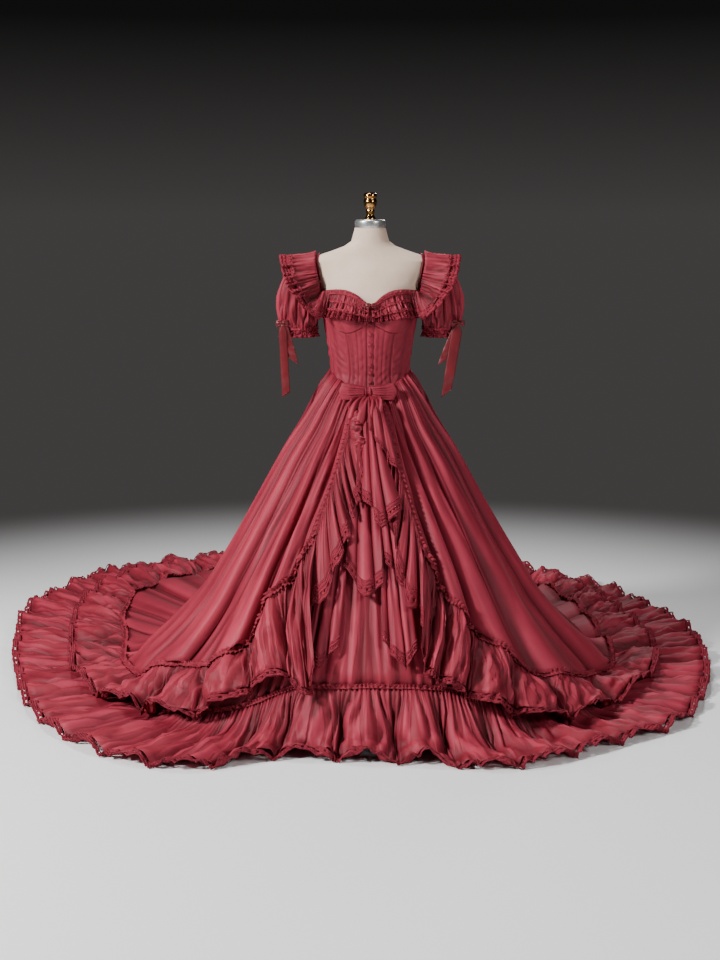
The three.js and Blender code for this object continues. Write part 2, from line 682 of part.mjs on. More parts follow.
function neckRufflePoint(sign, column, row) {
  const sewnPath = new THREE.CatmullRomCurve3(ruffleStations.map(({ sewn }) => sewn));
  const freePath = new THREE.CatmullRomCurve3(ruffleStations.map(({ free }) => free));
  const share = column / ruffleColumns;
  const sewn = sewnPath.getPoint(share);
  const free = freePath.getPoint(share);
  const along = sewnPath.getTangent(share);
  const outward = new THREE.Vector3().crossVectors(along, free.clone().sub(sewn)).normalize();
  const wave = ruffleWave * Math.cos(share * (neckWaves / 2) * 2 * Math.PI) * (row / 2);
  const spot = sewn.clone().lerp(free, row / 2).addScaledVector(outward, wave);
  return new THREE.Vector3(sign * spot.x, spot.y, spot.z);
}

// The puff sleeves, from the armhole to the cuff. Each ring is an oval across the arm,
// tilted about the Y axis, with its own reach away from the body and toward it.
const sleeveNames = ['x', 'z', 'tilt', 'out', 'in', 'depth', 'gather'];
const sleeveRings = columns(sleeveNames, [
  [170.3, 1333.5, 12.8, 62, 61, 46, 0], [188, 1323, 30, 60, 54, 64, 2],
  [204, 1300, 54, 72, 46, 76, 3], [214, 1252, 80, 75, 47, 78, 3], [218, 1204, 90, 68, 50, 67, 3],
  [220, 1172, 90, 58, 52, 56, 1],
]);
const frillRings = columns(sleeveNames, [
  [220, 1171.2, 90, 58, 52, 56, 1], [221, 1150, 90, 64, 52, 62, 4],
]);
const sleeveSides = 24;

function sleeveTube(sign, rings, gathers) {
  return tubeWall(rings.map(({ x, z, tilt, out, in: inward, depth, gather }) => {
    const lean = tilt * radians;
    return Array.from({ length: sleeveSides }, (_, i) => {
      const turn = (i / sleeveSides) * 2 * Math.PI;
      const fold = gather * Math.cos(gathers * turn);
      const reach = ((Math.cos(turn) > 0 ? out : inward) + fold) * Math.cos(turn);
      const spotX = x + reach * Math.sin(lean);
      const spotY = -(depth + fold) * Math.sin(turn);
      return new THREE.Vector3(sign * spotX, spotY, z + reach * Math.cos(lean));
    });
  }));
}

// A soft bow body along X, by its share of the half width: half height and half depth.
const bowSections = columns(['along', 'tall', 'deep'], [
  [-1, 0.8, 0.3], [-0.7, 1, 0.75], [-0.35, 0.72, 0.8], [-0.14, 0.42, 0.6], [-0.1, 0.7, 1],
  [0.1, 0.7, 1], [0.14, 0.42, 0.6], [0.35, 0.72, 0.8], [0.7, 1, 0.75], [1, 0.8, 0.3],
]);
const bowSides = 8;

function softBow(centre, halfWidth, halfHeight, halfDepth, bend) {
  return loft(bowSections.map(({ along, tall, deep }) => {
    return Array.from({ length: bowSides }, (_, i) => {
      const turn = (i / bowSides) * 2 * Math.PI;
      const y = halfDepth * deep * Math.cos(turn) + bend * along * along;
      const z = halfHeight * tall * Math.sin(turn);
      return new THREE.Vector3(centre.x + along * halfWidth, centre.y + y, centre.z + z);
    });
  }));
}

// A flat ribbon end that hangs from a knot, through points down its middle.
function ribbonTail(points, width) {
  return loft(points.map(([x, y, z]) => [
    new THREE.Vector3(x - width / 2, y - ribbonThick / 2, z),
    new THREE.Vector3(x + width / 2, y - ribbonThick / 2, z),
    new THREE.Vector3(x + width / 2, y + ribbonThick / 2, z),
    new THREE.Vector3(x - width / 2, y + ribbonThick / 2, z),
  ]));
}

const tailShapes = {
  left: [{ width: 25, drop: 230, drift: 10 }, { width: 31, drop: 125, drift: 34 }],
  right: [{ width: 32, drop: 226, drift: 34 }, { width: 26, drop: 130, drift: 50 }],
};
for (const [sideName, sign] of [['left', -1], ['right', 1]]) {
  const strap = sampleSheet(1, strapStations.length, (i, j) => strapPoint(sign, i, j));
  addPiece(`strap_${sideName}`, panel(strap, 0, 1, { gap: 0 }), 'cloth');
  const ruffle = sampleSheet(ruffleColumns, 2, (i, j) => neckRufflePoint(sign, i, j));
  addPiece(`neck_ruffle_${sideName}`, panel(ruffle, 0, ruffleColumns), 'cloth');
  addPiece(`sleeve_${sideName}`, sleeveTube(sign, sleeveRings, sleeveGathers / 2), 'cloth');
  addPiece(`sleeve_frill_${sideName}`, sleeveTube(sign, frillRings, frillWaves / 2), 'lace');
  const knot = new THREE.Vector3(sign * 274.6, -59.6, 1194);
  const tails = tailShapes[sideName].map(({ width, drop, drift }, k) => {
    const y = knot.y - 5.5 + k * 4;
    return ribbonTail([0, 0.5, 1].map((share) => {
      return [knot.x - sign * drift * share, y, knot.z - 4 - drop * share];
    }), width);
  });
  addPiece(`sleeve_bow_${sideName}`, join([softBow(knot, 19, 11, 8, 0), ...tails]), 'ribbon');
}
addPiece('neck_bow', softBow(new THREE.Vector3(2, -125.3, 1252), 17, 10, 6, 3), 'ribbon');
addPiece('waist_bow', softBow(new THREE.Vector3(-7, -118.6, 986), 86, 21, 10, 3), 'ribbon');

// The cascades fall from the overskirt's front edges in folds that lap back on themselves.
const cascadeColumns = 36;
const cascadeRows = 3;
const cascadeShape = columns(['along', 'inward', 'down'], [
  [0, 22, 60], [0.5, 72, 95], [1, 118, 110],
]);
const cascadeSeat = clothThick + lapClear;
const cascadeStop = 9;
const cascadeLift = 7;
const foldDepth = 10;
const foldLap = 20;

// A spot and its normal at a share of the way along an overskirt's front edge.
function alongEdge(sheet, share) {
  const points = sheet.points[0].slice(1);
  const reach = [0];
  for (let k = 1; k < points.length; k += 1) {
    reach.push(reach[k - 1] + points[k].distanceTo(points[k - 1]));
  }
  const want = share * (reach[reach.length - 1] - cascadeStop);
  const k = Math.max(reach.findIndex((length) => length >= want), 1);
  const part = (want - reach[k - 1]) / (reach[k] - reach[k - 1]);
  const [from, to] = [sheet.normals[0][k], sheet.normals[0][k + 1]];
  return {
    spot: points[k - 1].clone().lerp(points[k], part),
    normal: from.clone().lerp(to, part).normalize(),
  };
}

function cascadePoint(sign, sheet, column, row) {
  const along = column / cascadeColumns;
  const drop = row / cascadeRows;
  const { spot, normal } = alongEdge(sheet, along);
  if (row === 0) return spot.addScaledVector(normal, -sign * cascadeSeat);
  const startRadius = Math.hypot(spot.x, spot.y);
  const turn = along * (cascadeFolds / 2) * 2 * Math.PI;
  const fall = track(cascadeShape, 'along', along, 'down') + foldLap * Math.sin(2 * turn);
  const radius = startRadius + 0.75 * fall * drop;
  const inward = track(cascadeShape, 'along', along, 'inward') * drop;
  const startAngle = Math.atan2(spot.x, -spot.y) / radians;
  const degrees = startAngle - sign * (inward / radius / radians);
  const lift = cascadeLift + foldDepth * Math.cos(turn) * ease(drop * 2);
  return onSkirt(skirtForm, degrees, radius, lift);
}

for (const [sideName, sign] of [['left', -1], ['right', 1]]) {
  const cascade = sampleSheet(cascadeColumns, cascadeRows, (i, j) => {
    return cascadePoint(sign, overskirts[sideName], i, j);
  });
  addPiece(`cascade_${sideName}`, panel(cascade, 0, cascadeColumns), 'cloth');
}

// Two falls of cloth hang under the waist bow, each with a pointed lower edge. The columns
// give the angle and radius of its top and lower edge from its left to its right side.
const fallNames = ['across', 'topAngle', 'top', 'lowAngle', 'low'];
const jabots = [
  {
    name: 'jabot_upper', topLift: 1.8, lift: 30, depth: 7,
    rows: columns(fallNames, [
      [0, -8, 112.7, -5, 330], [0.45, -3, 112.7, 4, 392], [0.75, 0, 112.7, 11, 352],
      [1, 4, 112.7, 16, 372],
    ]),
  },
  {
    name: 'jabot_lower', topLift: -28, lift: -19, depth: 5,
    rows: columns(fallNames, [
      [0, -5, 235, -5, 412], [0.45, 0, 235, 3, 398], [0.8, 4, 235, 7, 478],
      [1, 7, 235, 10, 430],
    ]),
  },
];
const jabotColumns = 12;
const jabotRows = 4;
for (const { name, topLift, lift, depth, rows } of jabots) {
  const sheet = sampleSheet(jabotColumns, jabotRows, (i, j) => {
    const across = i / jabotColumns;
    const at = (column) => track(rows, 'across', across, column);
    const drop = j / jabotRows;
    const wave = depth * Math.cos(across * (jabotFolds / 2) * 2 * Math.PI) * ease(drop * 1.5);
    const degrees = mix(at('topAngle'), at('lowAngle'), drop);
    const stand = mix(topLift, lift, ease(drop * 4)) + wave;
    return onSkirt(skirtForm, degrees, mix(at('top'), at('low'), drop), stand);
  });
  addPiece(name, panel(sheet, 0, jabotColumns), 'cloth');
}

export default gown;
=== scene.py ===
import math

import bmesh
import bpy
import numpy as np
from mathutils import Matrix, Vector


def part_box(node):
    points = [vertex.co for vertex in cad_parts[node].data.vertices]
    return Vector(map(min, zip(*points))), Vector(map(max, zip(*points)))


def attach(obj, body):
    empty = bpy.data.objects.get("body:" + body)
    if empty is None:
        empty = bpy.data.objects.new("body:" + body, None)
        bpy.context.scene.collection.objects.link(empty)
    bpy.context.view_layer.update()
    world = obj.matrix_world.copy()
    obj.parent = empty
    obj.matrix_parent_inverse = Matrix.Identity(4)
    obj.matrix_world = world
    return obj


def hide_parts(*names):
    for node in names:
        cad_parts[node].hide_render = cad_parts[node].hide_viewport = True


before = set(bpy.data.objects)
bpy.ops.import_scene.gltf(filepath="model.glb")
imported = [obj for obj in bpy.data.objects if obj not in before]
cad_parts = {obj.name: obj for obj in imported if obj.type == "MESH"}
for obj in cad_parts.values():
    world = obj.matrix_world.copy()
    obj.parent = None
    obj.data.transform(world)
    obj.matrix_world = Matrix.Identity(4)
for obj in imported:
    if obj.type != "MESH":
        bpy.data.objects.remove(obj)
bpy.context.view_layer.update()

# Dress form: a limbless padded torso under a smooth off-white cover, which the gown hangs on.
# The cover is stretched over the padding and stapled under the foot, so it shows no folds.
# Sizes are in millimetres and angles start at the front and grow toward +X.
MM = 0.001


def softened(values, steps):
    """Rows of numbers with a smooth curve of in-between rows."""
    ends = np.vstack([2 * values[0] - values[1], values, 2 * values[-1] - values[-2]])
    share = np.linspace(0, 1, steps, endpoint=False)[:, None]
    curves = []
    for before, start, stop, after in zip(ends, ends[1:], ends[2:], ends[3:]):
        slope = (stop - before) * share
        bend = (2 * before - 5 * start + 4 * stop - after) * share ** 2
        turn = (3 * start - before - 3 * stop + after) * share ** 3
        curves.append(start + (slope + bend + turn) / 2)
    return np.vstack([*curves, values[-1:]])


def table(names, rows, steps=1):
    """Named columns from rows of numbers."""
    values = softened(np.array(rows, float), steps) if steps > 1 else np.array(rows, float)
    return dict(zip(names.split(), values.T))


def read(rows, at, name):
    """One column of a table at a value of its first, with straight lines between its rows."""
    key = next(iter(rows.values()))
    order = 1 if key[-1] > key[0] else -1
    return np.interp(at, key[::order], rows[name][::order])


def read_all(rows, at):
    """Every column of a table after its first."""
    return [read(rows, at, name) for name in list(rows)[1:]]


def mix(a, b, share):
    return a + (b - a) * share


def oval(angle, side, front, back):
    """Radius of an oval section in one direction."""
    depth = np.where(np.cos(angle) > 0, front, back)
    return 1 / np.hypot(np.sin(angle) / side, np.cos(angle) / depth)


def polar(angle, radius, z):
    """Points at a distance from the axis and a height."""
    across, depth = radius * np.sin(angle), -radius * np.cos(angle)
    return np.stack([across, depth, z + 0 * across], axis=-1)


def standing(grid, closed):
    """How far each point of a sheet stands out of the cloth around it, from 0 in the creases
    to 1 on the ridges."""
    total = 0
    foot = grid.mean(axis=1, keepdims=True) if closed else grid * [0, 0, 1]
    out = grid - foot
    out = out / (np.linalg.norm(out, axis=2, keepdims=True) + 1e-6) + [0, 0, 0 if closed else 0.8]
    for part in (13, 36):
        reach = max(2, grid.shape[1] // part)
        beyond = "wrap" if closed else "reflect"
        wide = np.pad(grid, ((0, 0), (reach + 1, reach), (0, 0)), mode=beyond)
        walk = np.cumsum(wide, axis=1)
        around = (walk[:, 2 * reach + 1:] - walk[:, :-2 * reach - 1]) / (2 * reach + 1)
        normal = np.cross(np.gradient(around, axis=0), np.gradient(around, axis=1))
        normal = normal / (np.linalg.norm(normal, axis=2, keepdims=True) + 1e-12)
        normal = normal * np.where(np.sum(normal * out, axis=2, keepdims=True) < 0, -1, 1)
        proud = np.sum((grid - around) * normal, axis=2)
        total = total + proud / (proud.std(axis=1, keepdims=True) + 0.8 * MM)
    return np.clip(0.5 + 0.2 * total, 0, 1)


def put_in(name, mesh, look):
    """Puts a finished mesh in the scene in its material."""
    mesh.polygons.foreach_set("use_smooth", np.ones(len(mesh.polygons), bool))
    mesh.materials.append(look)
    piece = bpy.data.objects.new(name, mesh)
    bpy.context.scene.collection.objects.link(piece)
    return piece


def stand_for(piece, nodes):
    """Says what carries a piece and the CAD nodes that it stands for."""
    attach(piece, "root")
    if nodes:
        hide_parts(*nodes)


# The ridge value is the mask for the painted shade that the cloth's material lays in the creases of
# the folds.
def set_ridge(mesh, values):
    mesh.attributes.new("ridge", "FLOAT", "POINT").data.foreach_set("value", values)


def lay_grid(name, columns, rows, place, look, closed=False):
    """A sheet made from a flat grid, and the size of its cut. place gives a point for each
    share across and down, and a closed sheet is sewn to itself side to side."""
    bm = bmesh.new()
    bmesh.ops.create_grid(bm, x_segments=columns, y_segments=rows, size=0.5)
    mesh = bpy.data.meshes.new(name)
    bm.to_mesh(mesh)
    flat = np.empty(len(mesh.vertices) * 3)
    mesh.vertices.foreach_get("co", flat)
    across, down = flat.reshape(-1, 3)[:, 0] + 0.5, 0.5 - flat.reshape(-1, 3)[:, 1]
    points = np.asarray(place(across, down)) * MM
    mesh.vertices.foreach_set("co", points.ravel())
    grid = np.zeros((rows + 1, columns + 1, 3))
    spots = np.rint(down * rows).astype(int), np.rint(across * columns).astype(int)
    grid[spots] = points
    set_ridge(mesh, standing(grid, closed)[spots])
    widths = np.linalg.norm(np.diff(grid, axis=1), axis=2).sum(axis=1)
    lengths = np.linalg.norm(np.diff(grid, axis=0), axis=2).sum(axis=0)
    corner = np.cross(grid[1:, :-1] - grid[:-1, :-1], grid[:-1, 1:] - grid[:-1, :-1])
    area = float(np.linalg.norm(corner, axis=2).sum())
    corners = np.empty(len(mesh.loops), int)
    mesh.loops.foreach_get("vertex_index", corners)
    spread = np.stack([across * widths.mean(), (1 - down) * lengths.mean()], axis=-1)
    mesh.uv_layers.new(name="cut").data.foreach_set("uv", spread[corners].ravel())
    if closed:
        bm.clear()
        bm.from_mesh(mesh)
        bmesh.ops.remove_doubles(bm, verts=bm.verts, dist=1e-7)
        bm.to_mesh(mesh)
    bm.free()
    return put_in(name, mesh, look), (float(widths.max()), float(lengths.max()), area)


def new_look(name, colour, roughness, **sockets):
    """A material whose fixed values stay on the shader's own sockets."""
    look = bpy.data.materials.new(name)
    look.use_nodes = True
    shader = look.node_tree.nodes["Principled BSDF"]
    shader.inputs["Base Color"].default_value = (*colour, 1)
    shader.inputs["Roughness"].default_value = roughness
    for socket, value in sockets.items():
        shader.inputs[socket.replace("_", " ")].default_value = value
    return look


def add_node(look, kind, **values):
    """A node with its settings and the values of its sockets."""
    node = look.node_tree.nodes.new(kind)
    for key, value in values.items():
        if hasattr(node, key):
            setattr(node, key, value)
        else:
            node.inputs[key.replace("_", " ")].default_value = value
    return node


def link(look, start, end):
    look.node_tree.links.new(start, end)


def shader_of(look):
    return look.node_tree.nodes["Principled BSDF"]


def pattern(look, kind, coordinates, stretch=(1, 1, 1), **values):
    """A texture over a surface's own coordinates."""
    place = add_node(look, "ShaderNodeTexCoord")
    fit = add_node(look, "ShaderNodeMapping", Scale=stretch)
    texture = add_node(look, kind, **values)
    link(look, place.outputs[coordinates], fit.inputs["Vector"])
    link(look, fit.outputs["Vector"], texture.inputs["Vector"])
    return texture.outputs["Fac"]


def ramp(look, value, *stops):
    """Colours over a value from 0 to 1. Each stop is a place and its colour."""
    node = add_node(look, "ShaderNodeValToRGB")
    ends = node.color_ramp.elements
    for end, (at, colour) in ((ends[0], stops[0]), (ends[1], stops[-1])):
        end.position = at
        end.color = (*colour, 1)
    for at, colour in stops[1:-1]:
        ends.new(at).color = (*colour, 1)
    link(look, value, node.inputs["Fac"])
    return node.outputs["Color"]


def tone(look, coordinates, scale, dark, light, stretch=(1, 1, 1)):
    """Slow changes of colour over a surface, between a darker and a lighter tone."""
    noise = pattern(
        look, "ShaderNodeTexNoise", coordinates, stretch, Scale=scale, Detail=5.0, Roughness=0.6,
    )
    colour = ramp(look, noise, (0.3, dark), (0.72, light))
    link(look, colour, shader_of(look).inputs["Base Color"])
    return colour


def relief(look, layers):
    """Bumps one on another: each a texture, its strength and its height in metres."""
    before = None
    for height, strength, depth in layers:
        bump = add_node(look, "ShaderNodeBump", Strength=strength, Distance=depth)
        link(look, height, bump.inputs["Height"])
        if before:
            link(look, before, bump.inputs["Normal"])
        before = bump.outputs["Normal"]
    link(look, before, shader_of(look).inputs["Normal"])


def grain(look, coordinates, scale, stretch=(1, 1, 1), detail=3.0):
    return pattern(look, "ShaderNodeTexNoise", coordinates, stretch, Scale=scale, Detail=detail)


cover_look = new_look("form_cover", (0.66, 0.54, 0.46), 0.8, Sheen_Weight=0.1)
tone(cover_look, "Object", 5.0, (0.66, 0.48, 0.36), (0.85, 0.66, 0.53))
relief(cover_look, [
    (grain(cover_look, "Object", 900.0), 0.25, 0.0004),
    (grain(cover_look, "Object", 14.0), 0.15, 0.004),
])

form_sections = table("z side front back", [
    (820, 140, 100, 115), (900, 152, 106, 122), (960, 144, 98, 112), (1000, 131, 90, 98),
    (1033, 121, 84, 88), (1080, 124, 88, 90), (1130, 132, 96, 94), (1163, 137, 100, 97),
    (1210, 145, 104, 100), (1260, 149, 104, 101), (1310, 157, 95, 98), (1350, 171, 80, 90),
    (1385, 184, 60, 72), (1400, 165, 52, 62), (1415, 120, 50, 58), (1430, 80, 49, 54),
    (1445, 59, 49, 51), (1486, 48, 46, 48),
])
BUST_ANGLE, BUST_SPREAD, BUST_HEIGHT, BUST_REACH, BUST_DEPTH = 35, 19, 1216, 46, 30


def form_radius(angle, z):
    """The form's radius, with its two smooth lobes in front."""
    from_front = np.abs(np.degrees(np.arctan2(np.sin(angle), np.cos(angle))))
    across = (from_front - BUST_ANGLE) / BUST_SPREAD
    upward = (z - BUST_HEIGHT) / BUST_REACH
    lobe = BUST_DEPTH * np.exp(-across ** 2 - upward ** 2)
    return oval(angle, *read_all(form_sections, z)) + lobe


def on_torso(across, down):
    angle = across * 2 * np.pi
    levels = softened(form_sections["z"][::-1, None], 6)[:, 0]
    z = np.interp(down, np.linspace(0, 1, len(levels)), levels)
    return polar(angle, form_radius(angle, z), z)


torso, _ = lay_grid("torso_cover", 96, 102, on_torso, cover_look, True)
bm = bmesh.new()
bm.from_mesh(torso.data)
bmesh.ops.holes_fill(bm, edges=[edge for edge in bm.edges if edge.is_boundary])
bmesh.ops.recalc_face_normals(bm, faces=bm.faces)
bm.to_mesh(torso.data)
bm.free()
stand_for(torso, ["form_torso"])

# Neck cap, finial and stand: a polished cap screwed on the neck, a turned brass finial on top
# of it, and a painted pole on a round base that carries the torso from below.


def turn_piece(name, profile, look, node):
    """A round piece, spun from its outline of radius and height."""
    bm = bmesh.new()
    corners = [bm.verts.new((radius * MM, 0, z * MM)) for radius, z in profile]
    edges = [bm.edges.new(pair) for pair in zip(corners, corners[1:])]
    bmesh.ops.spin(
        bm, geom=corners + edges, cent=(0, 0, 0), axis=(0, 0, 1), angle=2 * math.pi,
        steps=64, use_merge=True,
    )
    bmesh.ops.remove_doubles(bm, verts=bm.verts, dist=1e-6)
    bmesh.ops.recalc_face_normals(bm, faces=bm.faces)
    mesh = bpy.data.meshes.new(name)
    bm.to_mesh(mesh)
    bm.free()
    stand_for(put_in(name, mesh, look), [node])


cap_look = new_look("polished_cap", (0.80, 0.80, 0.79), 0.3, Metallic=0.9)
relief(cap_look, [(grain(cap_look, "Object", 240.0, (1, 1, 0.05)), 0.06, 0.0003)])
finial_look = new_look("turned_brass", (0.55, 0.27, 0.07), 0.17, Metallic=1.0, Coat_Weight=0.6)
tone(finial_look, "Object", 40.0, (0.36, 0.15, 0.03), (0.66, 0.36, 0.11), (1, 1, 2.5))
stand_look = new_look("stand_paint", (0.03, 0.03, 0.032), 0.45, Metallic=0.3)
relief(stand_look, [(grain(stand_look, "Object", 500.0), 0.12, 0.0003)])

turn_piece("neck_cap", [
    (0, 1486.4), (47.6, 1486.4), (48, 1487.2), (48.5, 1504), (48.2, 1506), (46, 1509),
    (43, 1510.8), (40, 1511.4), (20, 1511.4), (0, 1511.4),
], cap_look, "form_neck_cap")
finial_outline = softened(np.array([
    (17, 1512), (17.5, 1514), (16, 1518), (12.5, 1524), (13.4, 1532), (14.2, 1537), (13.3, 1543),
    (18.5, 1552), (21.5, 1565), (18.6, 1576), (21.3, 1582), (19.5, 1590), (12, 1594),
]), 5)
turn_piece("finial", [(0, 1511.8), (16.5, 1511.8), *finial_outline, (0, 1595)],
           finial_look, "form_finial")
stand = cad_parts["form_stand"]
stand.data.materials.clear()
stand.data.materials.append(stand_look)

# Bodice: panels of rose-red cotton with stitched bone channels, cups set in along a curved
# seam and a placket down the centre front. The panels are sewn to each other edge to edge.


def darkened(look, colour, shade):
    """One colour multiplied over another, as painted shade that darkens the cloth."""
    blend = add_node(look, "ShaderNodeMix", data_type="RGBA", blend_type="MULTIPLY")
    blend.inputs["Factor"].default_value = 1
    link(look, colour, blend.inputs[6])
    link(look, shade, blend.inputs[7])
    link(look, blend.outputs[2], shader_of(look).inputs["Base Color"])
    return blend.outputs[2]


def paint_crease_shade(look, colour):
    """Painted shade: the colour darkened and greyed in the creases of the folds and left as it is
    on their ridges, by the ridge value.
    """
    ridge = add_node(look, "ShaderNodeAttribute", attribute_name="ridge")
    crease, middle, top = (0.36, 0.18, 0.25), (0.64, 0.54, 0.58), (1, 1, 1)
    shade = ramp(look, ridge.outputs["Fac"], (0.08, crease), (0.5, middle), (0.92, top))
    return darkened(look, colour, shade)


def rose_cloth(name, crease_pitch, crease_depth, crease_painted_shade):
    """The gown's cotton: its weave, soft wrinkles, and creases that run down each piece as bumps
    with painted shade in them, over painted shade in the creases of its folds.
    """
    look = new_look(
        name, (0.30, 0.022, 0.042), 0.6, Sheen_Weight=0.06, Sheen_Roughness=0.35,
        Specular_IOR_Level=0.26,
    )
    shader_of(look).inputs["Sheen Tint"].default_value = (1, 0.50, 0.46, 1)
    # Painted shade in the creases of the folds, from the ridge value.
    colour = paint_crease_shade(look, tone(look, "Object", 4.0, (0.30, 0.023, 0.046), (0.43, 0.039, 0.070)))
    creases = pattern(
        look, "ShaderNodeTexNoise", "UV", (1, 0.07, 1), noise_type="RIDGED_MULTIFRACTAL",
        Scale=1 / crease_pitch, Detail=1.0, Distortion=0.15, Offset=1.0,
    )
    # Painted shade along the texture's creases, which also give the bump below.
    shade = ramp(look, creases, (0.74, (1, 1, 1)), (1.0, crease_painted_shade))
    darkened(look, colour, shade)
    relief(look, [
        (grain(look, "UV", 900.0), 0.3, 0.0003),
        (grain(look, "UV", 26.0, (1.6, 0.4, 1), 6.0), 0.35, 0.004),
        (shade, 0.9, crease_depth),
    ])
    return look


cloth_look = rose_cloth("rose_cloth", 0.045, 0.0012, (0.80, 0.72, 0.75))

SIDES = (("left", -1), ("right", 1))
CLOTH, BODICE_LIFT = 0.9, 4.4
bodice_lines = table("angle waist underbust neckline", [
    (0, 985, 1196, 1254), (6, 985, 1194, 1258), (20, 989, 1174, 1281), (35, 997, 1163, 1295),
    (50, 1008, 1170, 1299), (62, 1018, 1192, 1297), (72, 1027, 1222, 1294),
    (86, 1037, 1240, 1292), (97, 1037, 1240, 1272), (110, 1036, 1245, 1276),
    (125, 1035, 1250, 1288), (180, 1030, 1250, 1290),
], 4)


def ease(value):
    share = np.clip(value, 0, 1)
    return share * share * (3 - 2 * share)


def crumple(along, fall, count, seed):
    """Uneven values over a whole sheet, about from -1 to 1. Its swells slant and cross."""
    rng = np.random.default_rng(seed)
    total = 0
    for _ in range(7):
        swell = max(1, round(count * (0.4 + 1.4 * rng.random())))
        slant = 1.1 * rng.normal()
        total = total + np.sin(2 * np.pi * (swell * along + slant * fall + rng.random()))
    return total / 3.2


def bodice_line(degrees, name):
    return read(bodice_lines, np.abs(degrees), name)


def sew(name, columns, rows, place, look, nodes, closed=False, thick=CLOTH):
    """One cut piece of cloth: its sheet, its wall and what it stands for. The width of its cut is
    worked out but not kept.
    """
    piece, (width, length, area) = lay_grid(name, columns, rows, place, look, closed)
    wall = piece.modifiers.new("cloth_wall", "SOLIDIFY")
    wall.thickness = thick * MM
    wall.offset = 0
    stand_for(piece, nodes)
    if area < 0.5 * width * length:
        width = area / (0.6 * length)
    return piece


def bodice_place(start, stop, low, high, lift, channels=0, seed=0):
    """Points of a bodice panel between two angles and two lines, pulled in at its seams."""
    def place(across, down):
        across = mix(across, (1 - np.cos(np.pi * across)) / 2, 0.8)
        degrees = mix(start, stop, across)
        angle = np.radians(degrees)
        top, foot = high(degrees), low(degrees)
        z = mix(top, foot, down)
        radius = form_radius(angle, z)
        width = np.abs(np.radians(stop - start)) * radius
        to_side = np.minimum(across, 1 - across) * width
        puff = 1.9 * ease(to_side / 5) - 1.4
        if channels:
            puff = puff + 1.3 * np.abs(np.sin(across * np.pi * (channels + 1))) ** 0.5 - 0.6
        drag = 1.1 * crumple(down, 0.9 * across, 5, seed) * ease(to_side / 14)
        drag = drag * (1 - 0.7 * ease(1 - down * 5))
        return polar(angle, radius + lift + puff + drag, z)
    return place


def waist_line(degrees):
    return bodice_line(degrees, "waist")


def neck_line(degrees):
    return bodice_line(degrees, "neckline")


def under_cup(degrees):
    return bodice_line(degrees, "underbust") - 0.2


def over_cup(degrees):
    return bodice_line(degrees, "underbust") + 0.2


for side_name, sign in SIDES:
    for part, start, stop, high, channels in (
        ("front", 6, 39, under_cup, 3), ("side_front", 39, 72, under_cup, 0),
        ("side", 72, 126, neck_line, 0), ("back", 126, 180, neck_line, 2),
    ):
        sew(
            f"bodice_{part}_panel_{side_name}", 36, 44,
            bodice_place(sign * start, sign * stop, waist_line, high, BODICE_LIFT, channels, start),
            cloth_look, [f"bodice_{part}_{side_name}"],
        )
    sew(
        f"cup_{side_name}_cloth", 54, 28,
        bodice_place(sign * 6, sign * 72, over_cup, neck_line, BODICE_LIFT + 1.2, 0, 5),
        cloth_look, [f"cup_{side_name}"],
    )
sew(
    "placket_cloth", 16, 80, bodice_place(-6, 6, waist_line, neck_line, BODICE_LIFT, 0, 9),
    cloth_look, ["button_placket"],
)

# Covered buttons: seven domed buttons in the gown's own cloth, each sewn through the placket
# by the shank behind it.
BUTTONS, BUTTON_RADIUS = 7, 6.3
for number in range(1, BUTTONS + 1):
    low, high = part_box(f"button_{number}")
    centre = (Vector(low) + Vector(high)) / 2
    bm = bmesh.new()
    bmesh.ops.create_uvsphere(bm, u_segments=28, v_segments=16, radius=BUTTON_RADIUS * MM)
    for vert in bm.verts:
        vert.co.y *= 0.55 if vert.co.y < 0 else 0.25
    bmesh.ops.translate(bm, verts=bm.verts, vec=centre + Vector((0, 0.5 * MM, 0)))
    mesh = bpy.data.meshes.new(f"covered_button_{number}")
    bm.to_mesh(mesh)
    bm.free()
    # A middling ridge value all over, so the buttons get a middling share of the painted crease
    # shade.
    set_ridge(mesh, np.full(len(mesh.vertices), 0.62))
    stand_for(put_in(mesh.name, mesh, cloth_look), [f"button_{number}"])

# Overskirt: long pleated panels, gathered into the waist seam and open in front. They fall
# in broad soft folds that fan out to the flounce and run on over the floor behind.
skirt_rows = [
    (1036, 60, 128, 88), (1007, 80, 153, 122), (985, 99, 171, 146), (943, 140, 204, 190),
    (879, 190, 250, 252), (781, 262, 312, 335), (616, 375, 399, 440), (518, 435, 449, 502),
    (417, 495, 503, 568), (349, 535, 540, 618), (282, 572, 592, 672), (214, 612, 653, 730),
    (145, 652, 726, 792), (90, 690, 772, 850), (60, 730, 820, 930), (50, 790, 880, 1010),
    (47, 860, 950, 1080),
]
skirt_form = table("z front side back", skirt_rows, 3)
under_step = table("z inset", [
    (1036, 4), (985, 6), (943, 20), (879, 32), (781, 40), (145, 42), (90, 46), (60, 62),
])
under_rows = []
for z, front, side, back in skirt_rows[:-2]:
    inset = read(under_step, z, "inset")
    drop = ease((200 - z) / 150) * 22
    under_rows.append((z - drop, front - inset, side - inset, back - inset))
under_form = table("z front side back", [*under_rows, (13, 716, 800, 915)], 3)


def height_on(form, angle, radius):
    """The form's height at a distance from the axis."""
    side, front, back = (form[name][:, None] for name in ("side", "front", "back"))
    reach = oval(angle[None], side, front, back)
    step = (reach[1:-1] < radius).sum(axis=0)
    low = np.take_along_axis(reach, step[None], 0)[0]
    high = np.take_along_axis(reach, step[None] + 1, 0)[0]
    share = np.clip((radius - low) / (high - low), 0, 1)
    return mix(form["z"][step], form["z"][step + 1], share)


def radius_on(form, angle, z):
    front, side, back = read_all(form, z)
    return oval(angle, side, front, back)


